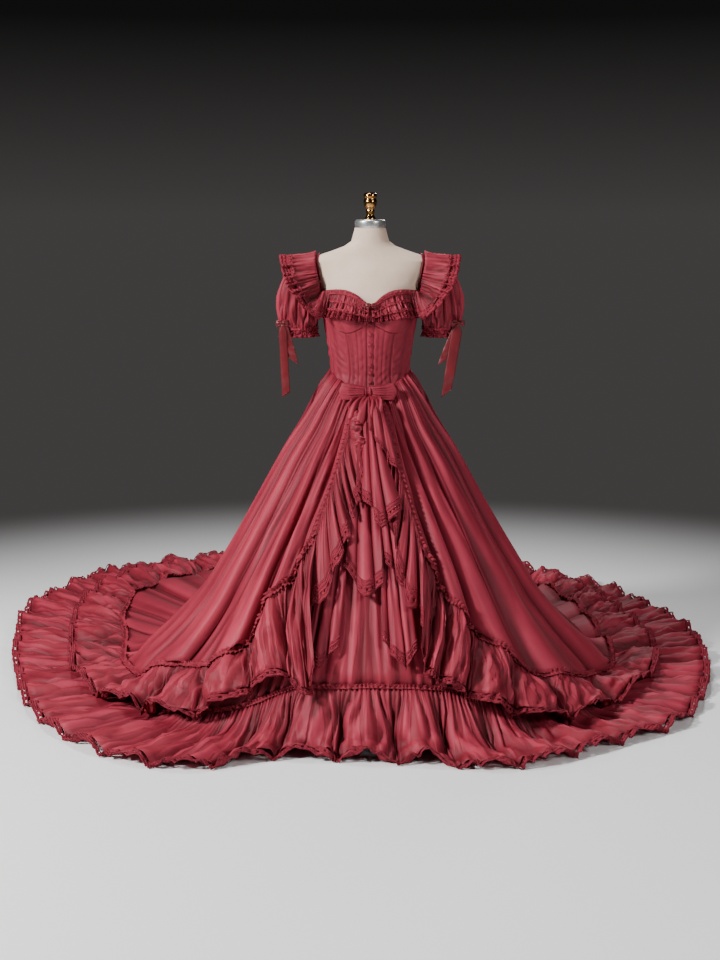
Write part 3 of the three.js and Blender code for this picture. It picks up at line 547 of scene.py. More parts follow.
def on_skirt(form, degrees, radius, lift):
    """A point over one of the skirt's forms, lifted along its normal."""
    angle = np.radians(degrees)
    step = 12
    z = height_on(form, angle, radius)
    fall = height_on(form, angle, radius + step) - height_on(form, angle, radius - step)
    length = np.hypot(fall, 2 * step)
    return polar(angle, radius - lift * fall / length, z + lift * 2 * step / length)


def fall_radius(form, angle, top, foot, end, down, last_step):
    """Radii that part a panel's fall into even heights, then one last step to its edge."""
    bend = np.minimum(radius_on(form, angle, foot), mix(top, end, 0.86))
    low, high = height_on(form, angle, bend), height_on(form, angle, top)
    share = down / (1 - last_step)
    hanging = radius_on(form, angle, mix(high, low, np.minimum(share, 1)))
    lying = mix(bend, end, np.clip((down - 1 + last_step) / last_step, 0, 1))
    return np.where(share <= 1, hanging, lying)


trim_names = "waist head_angle head lace_angle lace"
trims = {
    -1: table(trim_names, [
        (8, 24, 395, 12, 590), (12.5, 27, 425, 13.5, 625), (17, 29.5, 455, 15.5, 640),
        (25, 35.5, 497, 24, 625), (34, 42, 585, 35, 680), (42, 50, 645, 45, 750),
        (50, 61, 675, 58, 805), (58, 72, 745, 70, 885), (66, 86, 790, 84, 960),
        (75, 100, 850, 99, 1045), (84, 112, 930, 111, 1155), (95, 122, 1070, 121, 1290),
        (106, 131, 1230, 130, 1450), (118, 139, 1365, 138, 1570), (130, 148, 1440, 147, 1640),
        (150, 162, 1450, 162, 1650), (180, 180, 1430, 180, 1625),
    ], 4),
    1: table(trim_names, [
        (8, 20.5, 400, 11, 560), (12.5, 24, 445, 12.5, 595), (17, 26, 475, 14.5, 612),
        (25, 29.5, 508, 19, 632), (34, 36, 555, 27, 668), (42, 43, 612, 37, 715),
        (50, 52, 672, 48, 780), (58, 64, 715, 62, 815), (66, 80, 765, 80, 890),
        (75, 96, 830, 96, 990), (84, 110, 890, 110, 1065), (95, 121, 960, 120, 1130),
        (106, 130, 1060, 129, 1210), (118, 139, 1180, 138, 1330), (130, 147, 1290, 146, 1430),
        (150, 161, 1380, 161, 1550), (180, 180, 1430, 180, 1625),
    ], 4),
}
fan = table("share turn", [(0, 0), (0.1, 0.5), (0.25, 0.66), (0.6, 0.77), (1, 1)])
OPENING_ANGLE, SKIRT_COLUMNS, SKIRT_PLEATS = 8, 48, 24
SKIRT_LIFT, OVER_FOOT, WAIST_RISE = 6.9, 66, 5
LYING_FROM, LYING_FOLD = 820, 8


def uneven(at, count, seed):
    """Smooth uneven values from -1 to 1 with about count swells along a length of 1."""
    rng = np.random.default_rng(seed)
    swells = [max(1, round(count * share)) for share in (0.55, 1, 1.8)]
    return sum(np.sin(2 * np.pi * (swell * at + rng.random())) for swell in swells) / 3


def pleat_turn(share, seed):
    """Where in its pleat a column of the overskirt lies: ridges at full turns."""
    return 2 * np.pi * (share * SKIRT_PLEATS / 2 - 0.25 + 0.16 * uneven(share, 9, 40 + seed))


def lying(radius):
    """How far the skirt lies on the floor at a distance from the axis, from 0 to 1."""
    return ease((radius - LYING_FROM) / 200)


def settled(lift, radius):
    """Folds that are pressed lower, and puffed up a little, where the skirt lies."""
    return lift * mix(1, 0.5, lying(radius)) + LYING_FOLD * lying(radius)


def by_seam(share):
    """Folds rise from nothing at the front edge, and again from the centre back seam, where
    the two sides meet on one line."""
    return ease(share * SKIRT_COLUMNS / 3) * ease((1 - share) * SKIRT_COLUMNS / 2)


def pleat_pull(share, down, seed):
    """How far cloth is drawn toward the valleys, which makes them narrow and the ridges broad."""
    grown = ease(down * 1.6) * by_seam(share)
    turn = pleat_turn(share, seed)
    return (0.9 * np.sin(turn) + 0.4 * seed * np.cos(turn)) * grown / (np.pi * SKIRT_PLEATS)


def arched(turn, power=0.8):
    """Round ridges with a sharp crease at each odd half turn."""
    return 2 * np.abs(np.cos(turn / 2)) ** power - 1


def creased(turn, sharp):
    """Folds between plain waves and arched ones."""
    return mix(np.cos(turn), arched(turn), sharp)


def pleat_lift(share, down, seed):
    """Broad folds and lesser ones between them, with narrow creases. They start small at the
    waist, and their ridges keep to the skirt's outer line."""
    depth = mix(3, 24, down ** 0.7) * (1 + 0.3 * uneven(share, 13, 50 + seed))
    turn = pleat_turn(share, seed)
    lesser = creased(2 * turn + 1.6 * uneven(share, 9, 60 + seed) + 0.5 * down, 0.8)
    lesser = lesser * (0.34 + 0.24 * uneven(share, 7, 65 + seed))
    small = 1.5 * np.sin(5 * turn + 3 * uneven(share, 11, 60 + seed)) * (1 - 0.9 * ease(down * 3))
    ripple = 2.6 * crumple(share, 1.6 * down, 34, 70 + seed) * ease(down * 2)
    sunk = depth * (0.92 + 0.10 * ease(down * 2)) + 24 * ease(down * 7) * (1 - ease(down * 2 - 0.6))
    lift = depth * (creased(turn + 0.35 * crumple(share, down, 8, 75 + seed), 0.6) + lesser)
    return (lift - sunk + small + ripple) * by_seam(share)


def overskirt_place(sign, first, last):
    rows = trims[sign]

    def place(across, down):
        share = mix(first, last, across) / SKIRT_COLUMNS
        key = mix(OPENING_ANGLE, 180, np.clip(share + pleat_pull(share, down, sign), 0, 1))
        head_angle, head, _, _ = read_all(rows, key)
        degrees = mix(key, head_angle, read(fan, down, "turn"))
        angle = np.radians(degrees)
        top = form_radius(np.radians(key), waist_line(key)) + SKIRT_LIFT
        radius = fall_radius(skirt_form, angle, top, OVER_FOOT, head, down, 1 / 6)
        lift = settled(pleat_lift(share, down, sign), radius)
        spot = on_skirt(skirt_form, sign * degrees, radius, lift)
        seam = waist_line(key) - height_on(skirt_form, angle, top)
        spot[:, 2] += seam * (1 - ease(down * 6)) + WAIST_RISE * (1 - ease(down * 14))
        return spot
    return place


SIDE_COLUMN = 20
for side_name, sign in SIDES:
    for part, first, last, columns in (
        ("front", 0, SIDE_COLUMN, 240), ("back", SIDE_COLUMN, SKIRT_COLUMNS, 250),
    ):
        sew(
            f"overskirt_{part}_cloth_{side_name}", columns, 34, overskirt_place(sign, first, last),
            cloth_look, [f"overskirt_{part}_{side_name}"],
        )

# Flounce: a wide strip gathered onto the overskirt's lower edge, with a lace edging sewn on
# under its hem. The gathers are small at the seam and join into broad folds below it.
gathered_look = rose_cloth("gathered_rose_cloth", 0.03, 0.004, (0.66, 0.50, 0.54))
lace_look = new_look("lace_edging", (0.20, 0.014, 0.032), 0.8, Specular_IOR_Level=0.2)
tone(lace_look, "UV", 260.0, (0.15, 0.010, 0.021), (0.33, 0.028, 0.050), (0.35, 1.6, 1))
lace_rows = pattern(
    lace_look, "ShaderNodeTexWave", "UV", wave_type="BANDS", bands_direction="Y", Scale=34.0,
    Distortion=2.5, Detail=3.0, Detail_Scale=2.0,
)
relief(lace_look, [
    (grain(lace_look, "UV", 700.0), 0.5, 0.0008),
    (lace_rows, 0.9, 0.003),
    (grain(lace_look, "UV", 200.0, (1, 0.6, 1)), 0.6, 0.003),
])
FLOUNCE_WAVES, FLOUNCE_LENGTH = 36, 3300
LACE_WIDTH, LACE_ROWS, SCALLOP, THIN_CLOTH = 28, 6, 12, 0.7


def grounded(points, low):
    """Keeps a sheet on the floor where its folds would go through it."""
    points[..., 2] = np.maximum(points[..., 2], low)
    return points


def folds(phase, share, fall, depth, seed):
    """A gathered strip's folds: small at the seam, joined into broad ones at the free edge."""
    drift = 1.3 * crumple(share, fall, 40, seed)
    strength = 0.8 + 0.5 * crumple(share, fall, 60, seed + 1)
    grown = ease(fall * 2.2)
    broad = np.cos(phase + 0.5 * crumple(share, fall, 25, seed + 2)) * depth * grown
    broad = broad * (1 + 0.4 * uneven(share, 30, seed + 3))
    middle = arched(5 * phase + 2 * drift, 0.7)
    small = np.sin(10 * phase + 2.5 * drift)
    rumple = 4 * crumple(share, 2.2 * fall, 90, seed + 4) * ease(fall * 3)
    return broad + 9 * middle * strength * ease(fall * 5) + rumple + 3 * small * (1 - 0.8 * grown)


def fold_pull(phase, fall):
    """How far a strip's folds are drawn in over their valleys, as a part of one turn."""
    return 0.9 * np.sin(phase) * ease(fall * 2)


def strip_share(part, down, length):
    """Where on a flounce's drop a row of its cloth or of its lace lies."""
    if part == "cloth":
        return down * (1 - (LACE_WIDTH - 4) / length)
    return 1 - LACE_WIDTH / length * (1 - down)


def scallop(part, down, along):
    """The lace's curved lower edge."""
    if part == "cloth":
        return 0
    return ease(down * 2 - 1) * 3.0 * (np.abs(np.cos(np.pi * along / SCALLOP)) - 0.6)


def lace_frill(part, down, along):
    """The small gathers of the lace itself."""
    if part == "cloth":
        return 0
    return 1.5 + 2.4 * np.sin(2 * np.pi * along / 23 + 2 * np.sin(along / 61)) * down


def flounce_place(sign, first, last, part):
    rows = trims[sign]

    def place(across, down):
        share = mix(first, last, across) / SKIRT_COLUMNS
        phase = share * FLOUNCE_WAVES * np.pi
        pull = fold_pull(phase, down) / (FLOUNCE_WAVES * np.pi)
        key = mix(OPENING_ANGLE, 180, np.clip(share + pull, 0, 1))
        head_angle, head, lace_angle, lace = read_all(rows, key)
        first_fold = 1 - ease(share / 0.11)
        lace_angle, lace = lace_angle + 2.5 * first_fold, lace + 14 * first_fold
        seam = on_skirt(skirt_form, sign * head_angle, head, 0)
        edge = on_skirt(skirt_form, sign * lace_angle, lace, 0)
        length = np.linalg.norm(edge - seam, axis=-1)
        fall = strip_share(part, down, length)
        low = fall + scallop(part, down, share * FLOUNCE_LENGTH) / length
        degrees = mix(head_angle, lace_angle, low)
        radius = mix(head, lace, low)
        pleat = settled(pleat_lift(share, 1, sign), head) * (1 - fall)
        depth = mix(26, 18, ease((radius - 700) / 300))
        lift = pleat + 3.5 + 4 * ease(fall * 2) + folds(phase, share, fall, depth, 20 + sign)
        lift = lift + lace_frill(part, down, share * FLOUNCE_LENGTH)
        return grounded(on_skirt(skirt_form, sign * degrees, radius, lift), 4)
    return place


def sew_lace(name, columns, place, nodes):
    """A lace edging with its row of small holes between the threads."""
    piece = sew(
        name, columns, LACE_ROWS, place, lace_look, nodes,
        thick=THIN_CLOTH,
    )
    bm = bmesh.new()
    bm.from_mesh(piece.data)
    layer = bm.loops.layers.uv.active
    spots = {
        face: sum((loop[layer].uv for loop in face.loops), Vector((0, 0))) / 4
        for face in bm.faces
    }
    wide = max(spot.x for spot in spots.values()) / (columns - 0.5)
    tall = max(spot.y for spot in spots.values()) / (LACE_ROWS - 0.5)
    holes = [
        face for face, spot in spots.items()
        if LACE_ROWS - 1 - int(spot.y / tall) == 3 and int(spot.x / wide) % 3 == 1
    ]
    bmesh.ops.delete(bm, geom=holes, context="FACES")
    bm.to_mesh(piece.data)
    bm.free()


for side_name, sign in SIDES:
    for part, first, last, columns in (
        ("front", 0, SIDE_COLUMN, 300), ("train", SIDE_COLUMN, SKIRT_COLUMNS, 440),
    ):
        flounce = sew(
            f"flounce_{part}_cloth_{side_name}", columns, 13,
            flounce_place(sign, first, last, "cloth"), gathered_look,
            [f"flounce_{part}_{side_name}"],
        )
        sew_lace(
            f"flounce_{part}_lace_{side_name}", columns, flounce_place(sign, first, last, "lace"),
            [],
        )

# Ruched headings: narrow strips gathered down their middle, sewn over the flounce's seam and
# along both front edges of the overskirt, so both their own edges stand up in small frills.


def line_on(place, across, down):
    """Points along a line on a sheet, with the sheet's outward direction at each."""
    step = 0.002
    spot = place(across, down)
    side = place(np.clip(across + step, 0, 1), down) - place(np.clip(across - step, 0, 1), down)
    fall = place(across, np.clip(down + step, 0, 1)) - place(across, np.clip(down - step, 0, 1))
    out = np.cross(side, fall)
    out = out / np.linalg.norm(out, axis=-1, keepdims=True)
    out[out[:, 2] < -0.2] *= -1
    radial = np.sum(out[:, :2] * spot[:, :2], axis=1)
    out[(radial < 0) & (out[:, 2] < 0.6)] *= -1
    return spot, out


def line_at(points, share):
    """Points at shares of the way along a line."""
    at = np.linspace(0, 1, len(points))
    return np.stack([np.interp(share, at, points[:, k]) for k in range(3)], axis=-1)


def even_line(spot, out):
    """The same line with its points at even distances, and its length."""
    reach = np.concatenate([[0], np.cumsum(np.linalg.norm(np.diff(spot, axis=0), axis=1))])
    share = np.interp(np.linspace(0, reach[-1], len(spot)), reach, np.linspace(0, 1, len(spot)))
    return line_at(spot, share), line_at(out, share), reach[-1]


def sew_ruche(name, spot, out, half, pitch, carrier, seed):
    """A narrow strip gathered down its middle along a line, with both its edges standing up."""
    spot, out, length = even_line(spot, out)
    run = np.gradient(spot, axis=0)
    run = run / np.linalg.norm(run, axis=1, keepdims=True)
    side = np.cross(out, run)
    side = side / np.linalg.norm(side, axis=1, keepdims=True)
    count = round(length / pitch)

    def place(across, down):
        from_middle = 2 * down - 1
        edge = np.abs(from_middle)
        phase = 2 * np.pi * count * across + 1.2 * uneven(across, 30, seed)
        lag = np.where(from_middle > 0, 1.9, 0)
        stand = 1.4 + edge * (4.8 + 4.2 * np.cos(phase + lag)) * half / 12
        reach = half * from_middle * (0.8 + 0.2 * np.sin(phase + lag))
        swing = 0.3 * pitch * edge * np.sin(phase + lag + 1)
        return (
            line_at(spot, across) + line_at(side, across) * reach[:, None]
            + line_at(out, across) * stand[:, None] + line_at(run, across) * swing[:, None]
        )

    sew(
        name, round(length / RUCHE_STEP), 4, place, ruche_look, [],
        thick=THIN_CLOTH,
    )


RUCHE_STEP, HEADING_HALF, HEADING_PITCH = 3.8, 13, 17
ruche_look = new_look("ruched_trim", (0.22, 0.018, 0.034), 0.75, Specular_IOR_Level=0.2)
tone(ruche_look, "Object", 60.0, (0.16, 0.012, 0.024), (0.32, 0.028, 0.048))
relief(ruche_look, [(grain(ruche_look, "UV", 600.0), 0.4, 0.0006)])
for side_name, sign in SIDES:
    share = np.linspace(0, 1, 900)
    flounce_top = flounce_place(sign, 0, SKIRT_COLUMNS, "cloth")
    front_edge = overskirt_place(sign, 0, SKIRT_COLUMNS)
    sew_ruche(
        f"flounce_heading_{side_name}", *line_on(flounce_top, share, 0 * share + 0.01),
        HEADING_HALF, HEADING_PITCH, [f"flounce_front_cloth_{side_name}"], 3,
    )
    sew_ruche(
        f"opening_heading_{side_name}",
        *line_on(front_edge, 0 * share + 0.004, mix(0.02, 1, share)),
        HEADING_HALF, HEADING_PITCH, [f"overskirt_front_cloth_{side_name}"], 4,
    )

# Underskirt: a plain panel in front and two at the back, sewn into the waist seam under the
# overskirt. It carries the hem ruffle, and lies flat on the floor under the train.
hem_names = "angle seam hem"
hem_lines = {
    -1: table(hem_names, [
        (0, 585, 730), (12, 590, 722), (22, 600, 760), (33, 640, 930), (45, 680, 1010),
        (60, 735, 1062), (75, 790, 1110), (90, 860, 1175), (100, 930, 1260), (110, 1040, 1370),
        (121, 1220, 1560), (130, 1340, 1680), (140, 1460, 1790), (150, 1490, 1830),
        (165, 1480, 1825), (180, 1450, 1790),
    ], 4),
    1: table(hem_names, [
        (0, 585, 730), (12, 590, 760), (24, 605, 850), (33, 635, 890), (45, 660, 915),
        (55, 690, 960), (65, 735, 1035), (78, 780, 1075), (90, 830, 1130), (100, 880, 1190),
        (110, 950, 1270), (120, 1030, 1360), (133, 1120, 1455), (144, 1230, 1565),
        (155, 1290, 1625), (168, 1370, 1710), (180, 1450, 1790),
    ], 4),
}


def hem_at(degrees, name):
    """Where the underskirt's seam or the hem lies in one direction, left below zero."""
    left, right = (read(hem_lines[sign], np.abs(degrees), name) for sign in (-1, 1))
    return np.where(degrees < 0, left, right)


hem_turns = np.linspace(-180, 180, 1441)
hem_walk = polar(np.radians(hem_turns), hem_at(hem_turns, "hem"), 0)
hem_reach = np.concatenate([[0], np.cumsum(np.linalg.norm(np.diff(hem_walk, axis=0), axis=1))])
HEM_LENGTH = float(hem_reach[-1])


def hem_degrees(share):
    """Parts the hem into equal lengths, from the centre back round by the front."""
    return np.interp(share, hem_reach / HEM_LENGTH, hem_turns)


UNDER_FOOT, UNDER_COLUMNS, UNDER_TUCK = 24, 40, 26


def underskirt_place(first, last):
    def place(across, down):
        share = mix(first, last, across) / UNDER_COLUMNS
        degrees = hem_degrees(share)
        angle = np.radians(degrees)
        top = form_radius(angle, waist_line(degrees) - 2.6) + BODICE_LIFT
        seam = hem_at(degrees, "seam")
        radius = fall_radius(under_form, angle, top, UNDER_FOOT, seam, down, 1 / 6)
        hidden = ease((np.abs(degrees) - 26) / 14)
        front = 7 * creased(2 * np.pi * 118 * share + 1.8 * uneven(share, 40, 33) + down, 0.8)
        soft = mix(8 * uneven(share, 70, 31) + front, 3 * uneven(share, 70, 32), hidden)
        tuck = UNDER_TUCK * hidden * ease(down * 3) * ease((1 - down) * 5)
        return grounded(on_skirt(under_form, degrees, radius, soft * ease(down * 1.2) - tuck), 3)
    return place


for name, first, last, columns in (
    ("back_left", 0, 13, 64), ("front", 13, 27, 310), ("back_right", 27, 40, 64),
):
    sew(
        f"underskirt_{name}_cloth", columns, 20, underskirt_place(first, last), gathered_look,
        [f"underskirt_{name}"],
    )

# Hem ruffle: a gathered strip in four lengths on the underskirt's lower edge, with a lace
# edging under its hem. In front it hangs to the floor, and round the train it lies on it.
HEM_COLUMNS, HEM_WAVES = 120, 46


def hem_place(first, last, part):
    def place(across, down):
        share = mix(first, last, across) / HEM_COLUMNS
        phase = share * HEM_WAVES * 2 * np.pi
        pull = fold_pull(phase, down) / (HEM_WAVES * 2 * np.pi)
        degrees = hem_degrees(np.clip(share + pull, 0, 1))
        seam, hem = hem_at(degrees, "seam"), hem_at(degrees, "hem")
        fall = strip_share(part, down, hem - seam)
        radius = mix(seam, hem, fall) + scallop(part, down, share * HEM_LENGTH)
        depth = mix(26, 17, ease((radius - 650) / 200))
        lift = 3.5 + folds(phase, share, fall, depth, 12)
        lift = lift + lace_frill(part, down, share * HEM_LENGTH)
        return grounded(on_skirt(under_form, degrees, radius, lift), 2.5)
    return place


for name, first, last in (
    ("back_left", 0, 30), ("front_left", 30, 60), ("front_right", 60, 90), ("back_right", 90, 120),
):
    ruffle = sew(
        f"hem_ruffle_{name}_cloth", 440, 11, hem_place(first, last, "cloth"), gathered_look,
        [f"hem_ruffle_{name}"],
    )
    sew_lace(
        f"hem_lace_{name}_edging", 440, hem_place(first, last, "lace"), [f"hem_lace_{name}"],
    )
share = np.linspace(0, 1, 2400)
hem_seam = line_on(hem_place(0, HEM_COLUMNS, "cloth"), share, 0 * share + 0.01)
for number, (start, stop) in enumerate(((0, 1200), (1200, 2400))):
    part = [points[start:stop] for points in hem_seam]
    sew_ruche(f"hem_heading_{number + 1}", *part, 9, 15, ["underskirt_front_cloth"], 6 + number)

# Shoulder straps: narrow bands of the bodice cloth from the cups over the shoulders to the
# back panels, with a piped inner edge.
strap_stations = table("z angle face", [
    (1293.7, 71, -1), (1325, 68.5, -1), (1355, 65, -1), (1380, 62, -1), (1380, 60, 1),
    (1350, 56, 1), (1318, 53, 1), (1283.8, 50, 1),
])
STRAP_WIDTH, STRAP_LIFT = 13, 5


def strap_line(sign, edge):
    """The inner edge of a strap, or its outer one where edge is 1."""
    spots = []
    for z, angle, face in zip(*strap_stations.values()):
        turn = math.radians(angle + edge * STRAP_WIDTH)
        side, front, back = read_all(form_sections, z)
        depth = front if face < 0 else back
        out = np.array([math.sin(turn) / side, math.cos(turn) / depth])
        out = out / np.linalg.norm(out)
        x = side * math.sin(turn) + STRAP_LIFT * out[0]
        spots.append([sign * x, face * (depth * math.cos(turn) + STRAP_LIFT * out[1]), z])
    spots.insert(4, [sign * (158 + 17 * edge), 2, 1408.5 - 10.5 * edge])
    return softened(np.array(spots, float), 8)


def strap_place(sign):
    inner, outer = strap_line(sign, 0), strap_line(sign, 1)

    def place(across, down):
        start, stop = line_at(inner, down), line_at(outer, down)
        return start + (stop - start) * across[:, None]
    return place


for side_name, sign in SIDES:
    sew(
        f"strap_{side_name}_band", 8, 72, strap_place(sign), cloth_look,
        [f"strap_{side_name}"], thick=1.6,
    )

# Neckline ruffle: a finely gathered collar from the middle of the neckline over the shoulder
# to the centre back, edged with ruffled lace under a ruched line.
shoulder_stations = [
    (146, -58, 1291, 174, -120, 1220), (155, -40, 1291, 207, -126, 1257),
    (158, -58, 1318, 238, -126, 1292), (165, -52, 1350, 262, -100, 1342),
    (171, -40, 1388, 276, -52, 1384), (170, 2, 1414, 282, 4, 1400),
    (171, 44, 1390, 272, 62, 1382), (160, 66, 1350, 250, 112, 1330),
    (146, 84, 1312, 205, 150, 1275),
]
RUFFLE_SEAT, RUFFLE_FLARE = 9.2, 18
ruffle_widths = table("angle width", [
    (2, 48), (16, 66), (36, 78), (60, 80), (72, 76), (125, 70), (180, 66),
])


def bodice_station(angle):
    """Where the ruffle is sewn on and where its free edge lies, over the bodice."""
    width = read(ruffle_widths, angle, "width")
    top = neck_line(angle) - 3
    turn = np.radians(angle)
    sewn = polar(turn, form_radius(turn, top) + RUFFLE_SEAT, top)
    free = polar(turn, form_radius(turn, top - width) + RUFFLE_SEAT + RUFFLE_FLARE, top - width)
    return [*sewn, *free]


ruffle_stations = softened(np.array([
    *[bodice_station(angle) for angle in (2, 12, 24, 36, 48, 60)], *shoulder_stations,
    *[bodice_station(angle) for angle in (122, 134, 146, 158, 168, 179)],
], float), 12)


def neck_ruffle_place(sign, near, far, small, broad, raised, seed):
    sewn, free = ruffle_stations[:, :3], ruffle_stations[:, 3:]
    run = np.gradient(sewn, axis=0)
    out = np.cross(run, free - sewn)
    out = out / np.linalg.norm(out, axis=1, keepdims=True)

    def place(across, down):
        drop = mix(near, far, down)
        phase = 2 * np.pi * across
        drift = 1.3 * uneven(across, 20, seed)
        strength = 1 + 0.8 * crumple(across, drop, 14, seed + 4)
        gathers = small * strength * creased(phase * 58 + 3.4 * drift + 2 * drop, 0.7)
        waves = broad * arched(phase * 28 + 3.2 * drift) * ease(drop * 1.4)
        rough = 2.2 * crumple(across, 1.5 * drop, 45, seed + 5) * ease(drop * 2)
        lift = gathers + waves + rough + raised + 5 * np.sin(np.pi * np.clip(drop, 0, 1))
        base = mix(line_at(sewn, across), line_at(free, across), drop[:, None])
        return (base + line_at(out, across) * lift[:, None]) * [sign, 1, 1]
    return place


for side_name, sign in SIDES:
    ruffle = sew(
        f"neck_ruffle_cloth_{side_name}", 440, 11, neck_ruffle_place(sign, 0, 0.78, 1.9, 4, 0, 2),
        gathered_look, [f"neck_ruffle_{side_name}"],
        thick=THIN_CLOTH,
    )
    sew_lace(
        f"neck_ruffle_lace_{side_name}", 440, neck_ruffle_place(sign, 0.7, 1.04, 1.8, 8.5, 1.5, 2),
        [],
    )
    share = np.linspace(0, 1, 700)
    for number, drop, end, half in ((1, 0.10, 0.26, 5), (2, 0.40, 0.26, 5.5), (3, 0.72, 1, 5.5)):
        line = line_on(neck_ruffle_place(sign, 0, 1, 0, 3.5, 0, 2), share * end, 0 * share + drop)
        sew_ruche(f"neck_ruche_{number}_{side_name}", *line, half, 12, [ruffle.name], number)

# Puff sleeves: cut wide and gathered into the armhole and the cuff, with a lace frill under
# each cuff.
CUFF_REACH, SOFT_CLOTH = 220, 0.8
sleeve_names = "at x z tilt out inward depth gather"
sleeve_rings = table(sleeve_names, [
    (0, 170.3, 1333.5, 12.8, 62, 61, 46, 0.6), (1, 188, 1323, 30, 60, 54, 64, 2),
    (2, 204, 1300, 54, 72, 46, 76, 3), (3, 214, 1252, 80, 75, 47, 78, 3),
    (4, 218, 1204, 90, 68, 50, 67, 3), (5, 220, 1172, 90, 58, 52, 56, 0.8),
], 6)
frill_rings = table(sleeve_names, [
    (0, 220, 1171.2, 90, 58, 52, 56, 0.5), (1, 221, 1147, 90, 65, 54, 63, 1),
])


def sleeve_place(sign, rings, pleats, small, broad, seed):
    def place(across, down):
        x, z, tilt, out, inward, depth, gather = read_all(rings, down * rings["at"][-1])
        turn, lean = across * 2 * np.pi, np.radians(tilt)
        drift = 2.2 * crumple(across, down, 9, seed)
        middle = np.sin(np.pi * down)
        fold = broad * gather / 3 * creased(turn * pleats / 3 + 1.4 * drift, 0.8)
        fold = fold * (1 + 0.6 * crumple(across, down, 7, seed + 2))
        fold = fold + small * np.sin(turn * pleats + 1.5 * drift) * (1 - 0.9 * middle)
        fold = fold + 3.5 * middle * crumple(across, 1.4 * down, 8, seed + 1) - 2 * middle
        reach = mix(inward, out, ease(0.75 * np.cos(turn) + 0.5)) + fold
        reach = reach * np.cos(turn)
        return np.stack([
            sign * (x + reach * np.sin(lean)), -(depth + fold) * np.sin(turn),
            z + reach * np.cos(lean),
        ], axis=-1)
    return place


for side_name, sign in SIDES:
    sleeve = sew(
        f"sleeve_{side_name}_cloth", 220, 24, sleeve_place(sign, sleeve_rings, 48, 1.1, 6.5, 8),
        gathered_look, [f"sleeve_{side_name}"],
        True, SOFT_CLOTH,
    )
    sew(
        f"sleeve_{side_name}_frill", 260, 5, sleeve_place(sign, frill_rings, 60, 1.2, 20, 9),
        lace_look, [f"sleeve_frill_{side_name}"], True,
        THIN_CLOTH,
    )
    spot, out = line_on(
        sleeve_place(sign, sleeve_rings, 48, 0, 6.5, 8), np.linspace(0, 1, 300),
        np.full(300, 0.985),
    )
    out[:, 2] = 0
    inward = np.sum(out * (spot - [sign * CUFF_REACH, 0, 0]), axis=1) < 0
    out[inward] *= -1
    sew_ruche(f"cuff_ruche_{side_name}", spot, out, 6, 10, [sleeve.name], 7)

# Ribbon ties: satin ribbon round each cuff with a knot, two short loops and two long ends
# that are cut on the slant.
ribbon_look = new_look(
    "satin_ribbon", (0.20, 0.009, 0.016), 0.42, Specular_IOR_Level=0.45, Anisotropic=0.4,
)
tone(ribbon_look, "Object", 16.0, (0.10, 0.005, 0.009), (0.17, 0.010, 0.016))
relief(ribbon_look, [
    (grain(ribbon_look, "UV", 1400.0, (1, 0.1, 1)), 0.25, 0.0003),
    (grain(ribbon_look, "UV", 30.0), 0.2, 0.003),
])


def tail_place(knot, width, drop, drift, slant, seed):
    """A ribbon end that hangs from its knot."""
    def place(across, down):
        curl = 3 * uneven(down, 2, seed) * down
        cut = slant * (across - 0.5) * ease(down * 3 - 2)
        x = knot[0] + drift * down + (across - 0.5) * width * mix(0.35, 1, ease(down * 8))
        cup = 2.5 * np.cos(np.pi * (across - 0.5)) * (1 - 0.5 * down)
        y = knot[1] - cup + curl
        z = knot[2] - 4 - (drop - 8) * down + cut
        return np.stack([x, y + 0 * x, z + 0 * x], axis=-1)
    return place


def loop_place(knot, reach, start, tall, deep, creases, droop):
    """One loop of a bow: out from the knot in front, round its end and back behind."""
    def place(across, down):
        out = (1 - np.cos(across * 2 * np.pi)) / 2
        up = 1 - 2 * down
        height = mix(start, tall, out ** 0.55)
        crease = mix(1.6, 3.4, 0.02 * abs(reach) - 0.4) * creased(np.pi * creases * up, 0.8)
        crease = crease * ease(out * 4) * ease((1 - out) * 2)
        y = -np.sin(across * 2 * np.pi) * deep * (1 - 0.35 * up ** 2) - crease
        x = knot[0] + reach * out * (1 + 0.05 * np.cos(np.pi * up))
        z = knot[2] + up * height - droop * out ** 2
        return np.stack([x, knot[1] + y, z], axis=-1)
    return place


def knot_place(knot, wide, tall, deep):
    """The wrap round a bow's middle."""
    def place(across, down):
        turn = across * 2 * np.pi
        up = 1 - 2 * down
        pinch = 1 - 0.16 * np.cos(np.pi * up) + 0.05 * np.cos(3 * np.pi * up)
        y = -np.cos(turn) * deep * pinch
        z = np.sin(turn) * tall * pinch
        x = up * wide * (1 + 0.12 * np.cos(turn))
        return np.stack([knot[0] + x, knot[1] + y, knot[2] + z], axis=-1)
    return place


def tie_bow(name, knot, reach, start, tall, deep, creases, droop, node, look):
    """Two loops and a knot. The first loop stands for the node."""
    for side, sign in SIDES:
        sew(
            f"{name}_loop_{side}", 48, 16,
            loop_place(knot, sign * reach, start, tall, deep, creases, droop), look,
            [node] if sign < 0 else [], thick=SOFT_CLOTH,
        )
    sew(
        f"{name}_knot", 36, 12, knot_place(knot, 0.05 * reach + 4, start + 1, deep + 1.5),
        look, [], True, SOFT_CLOTH,
    )


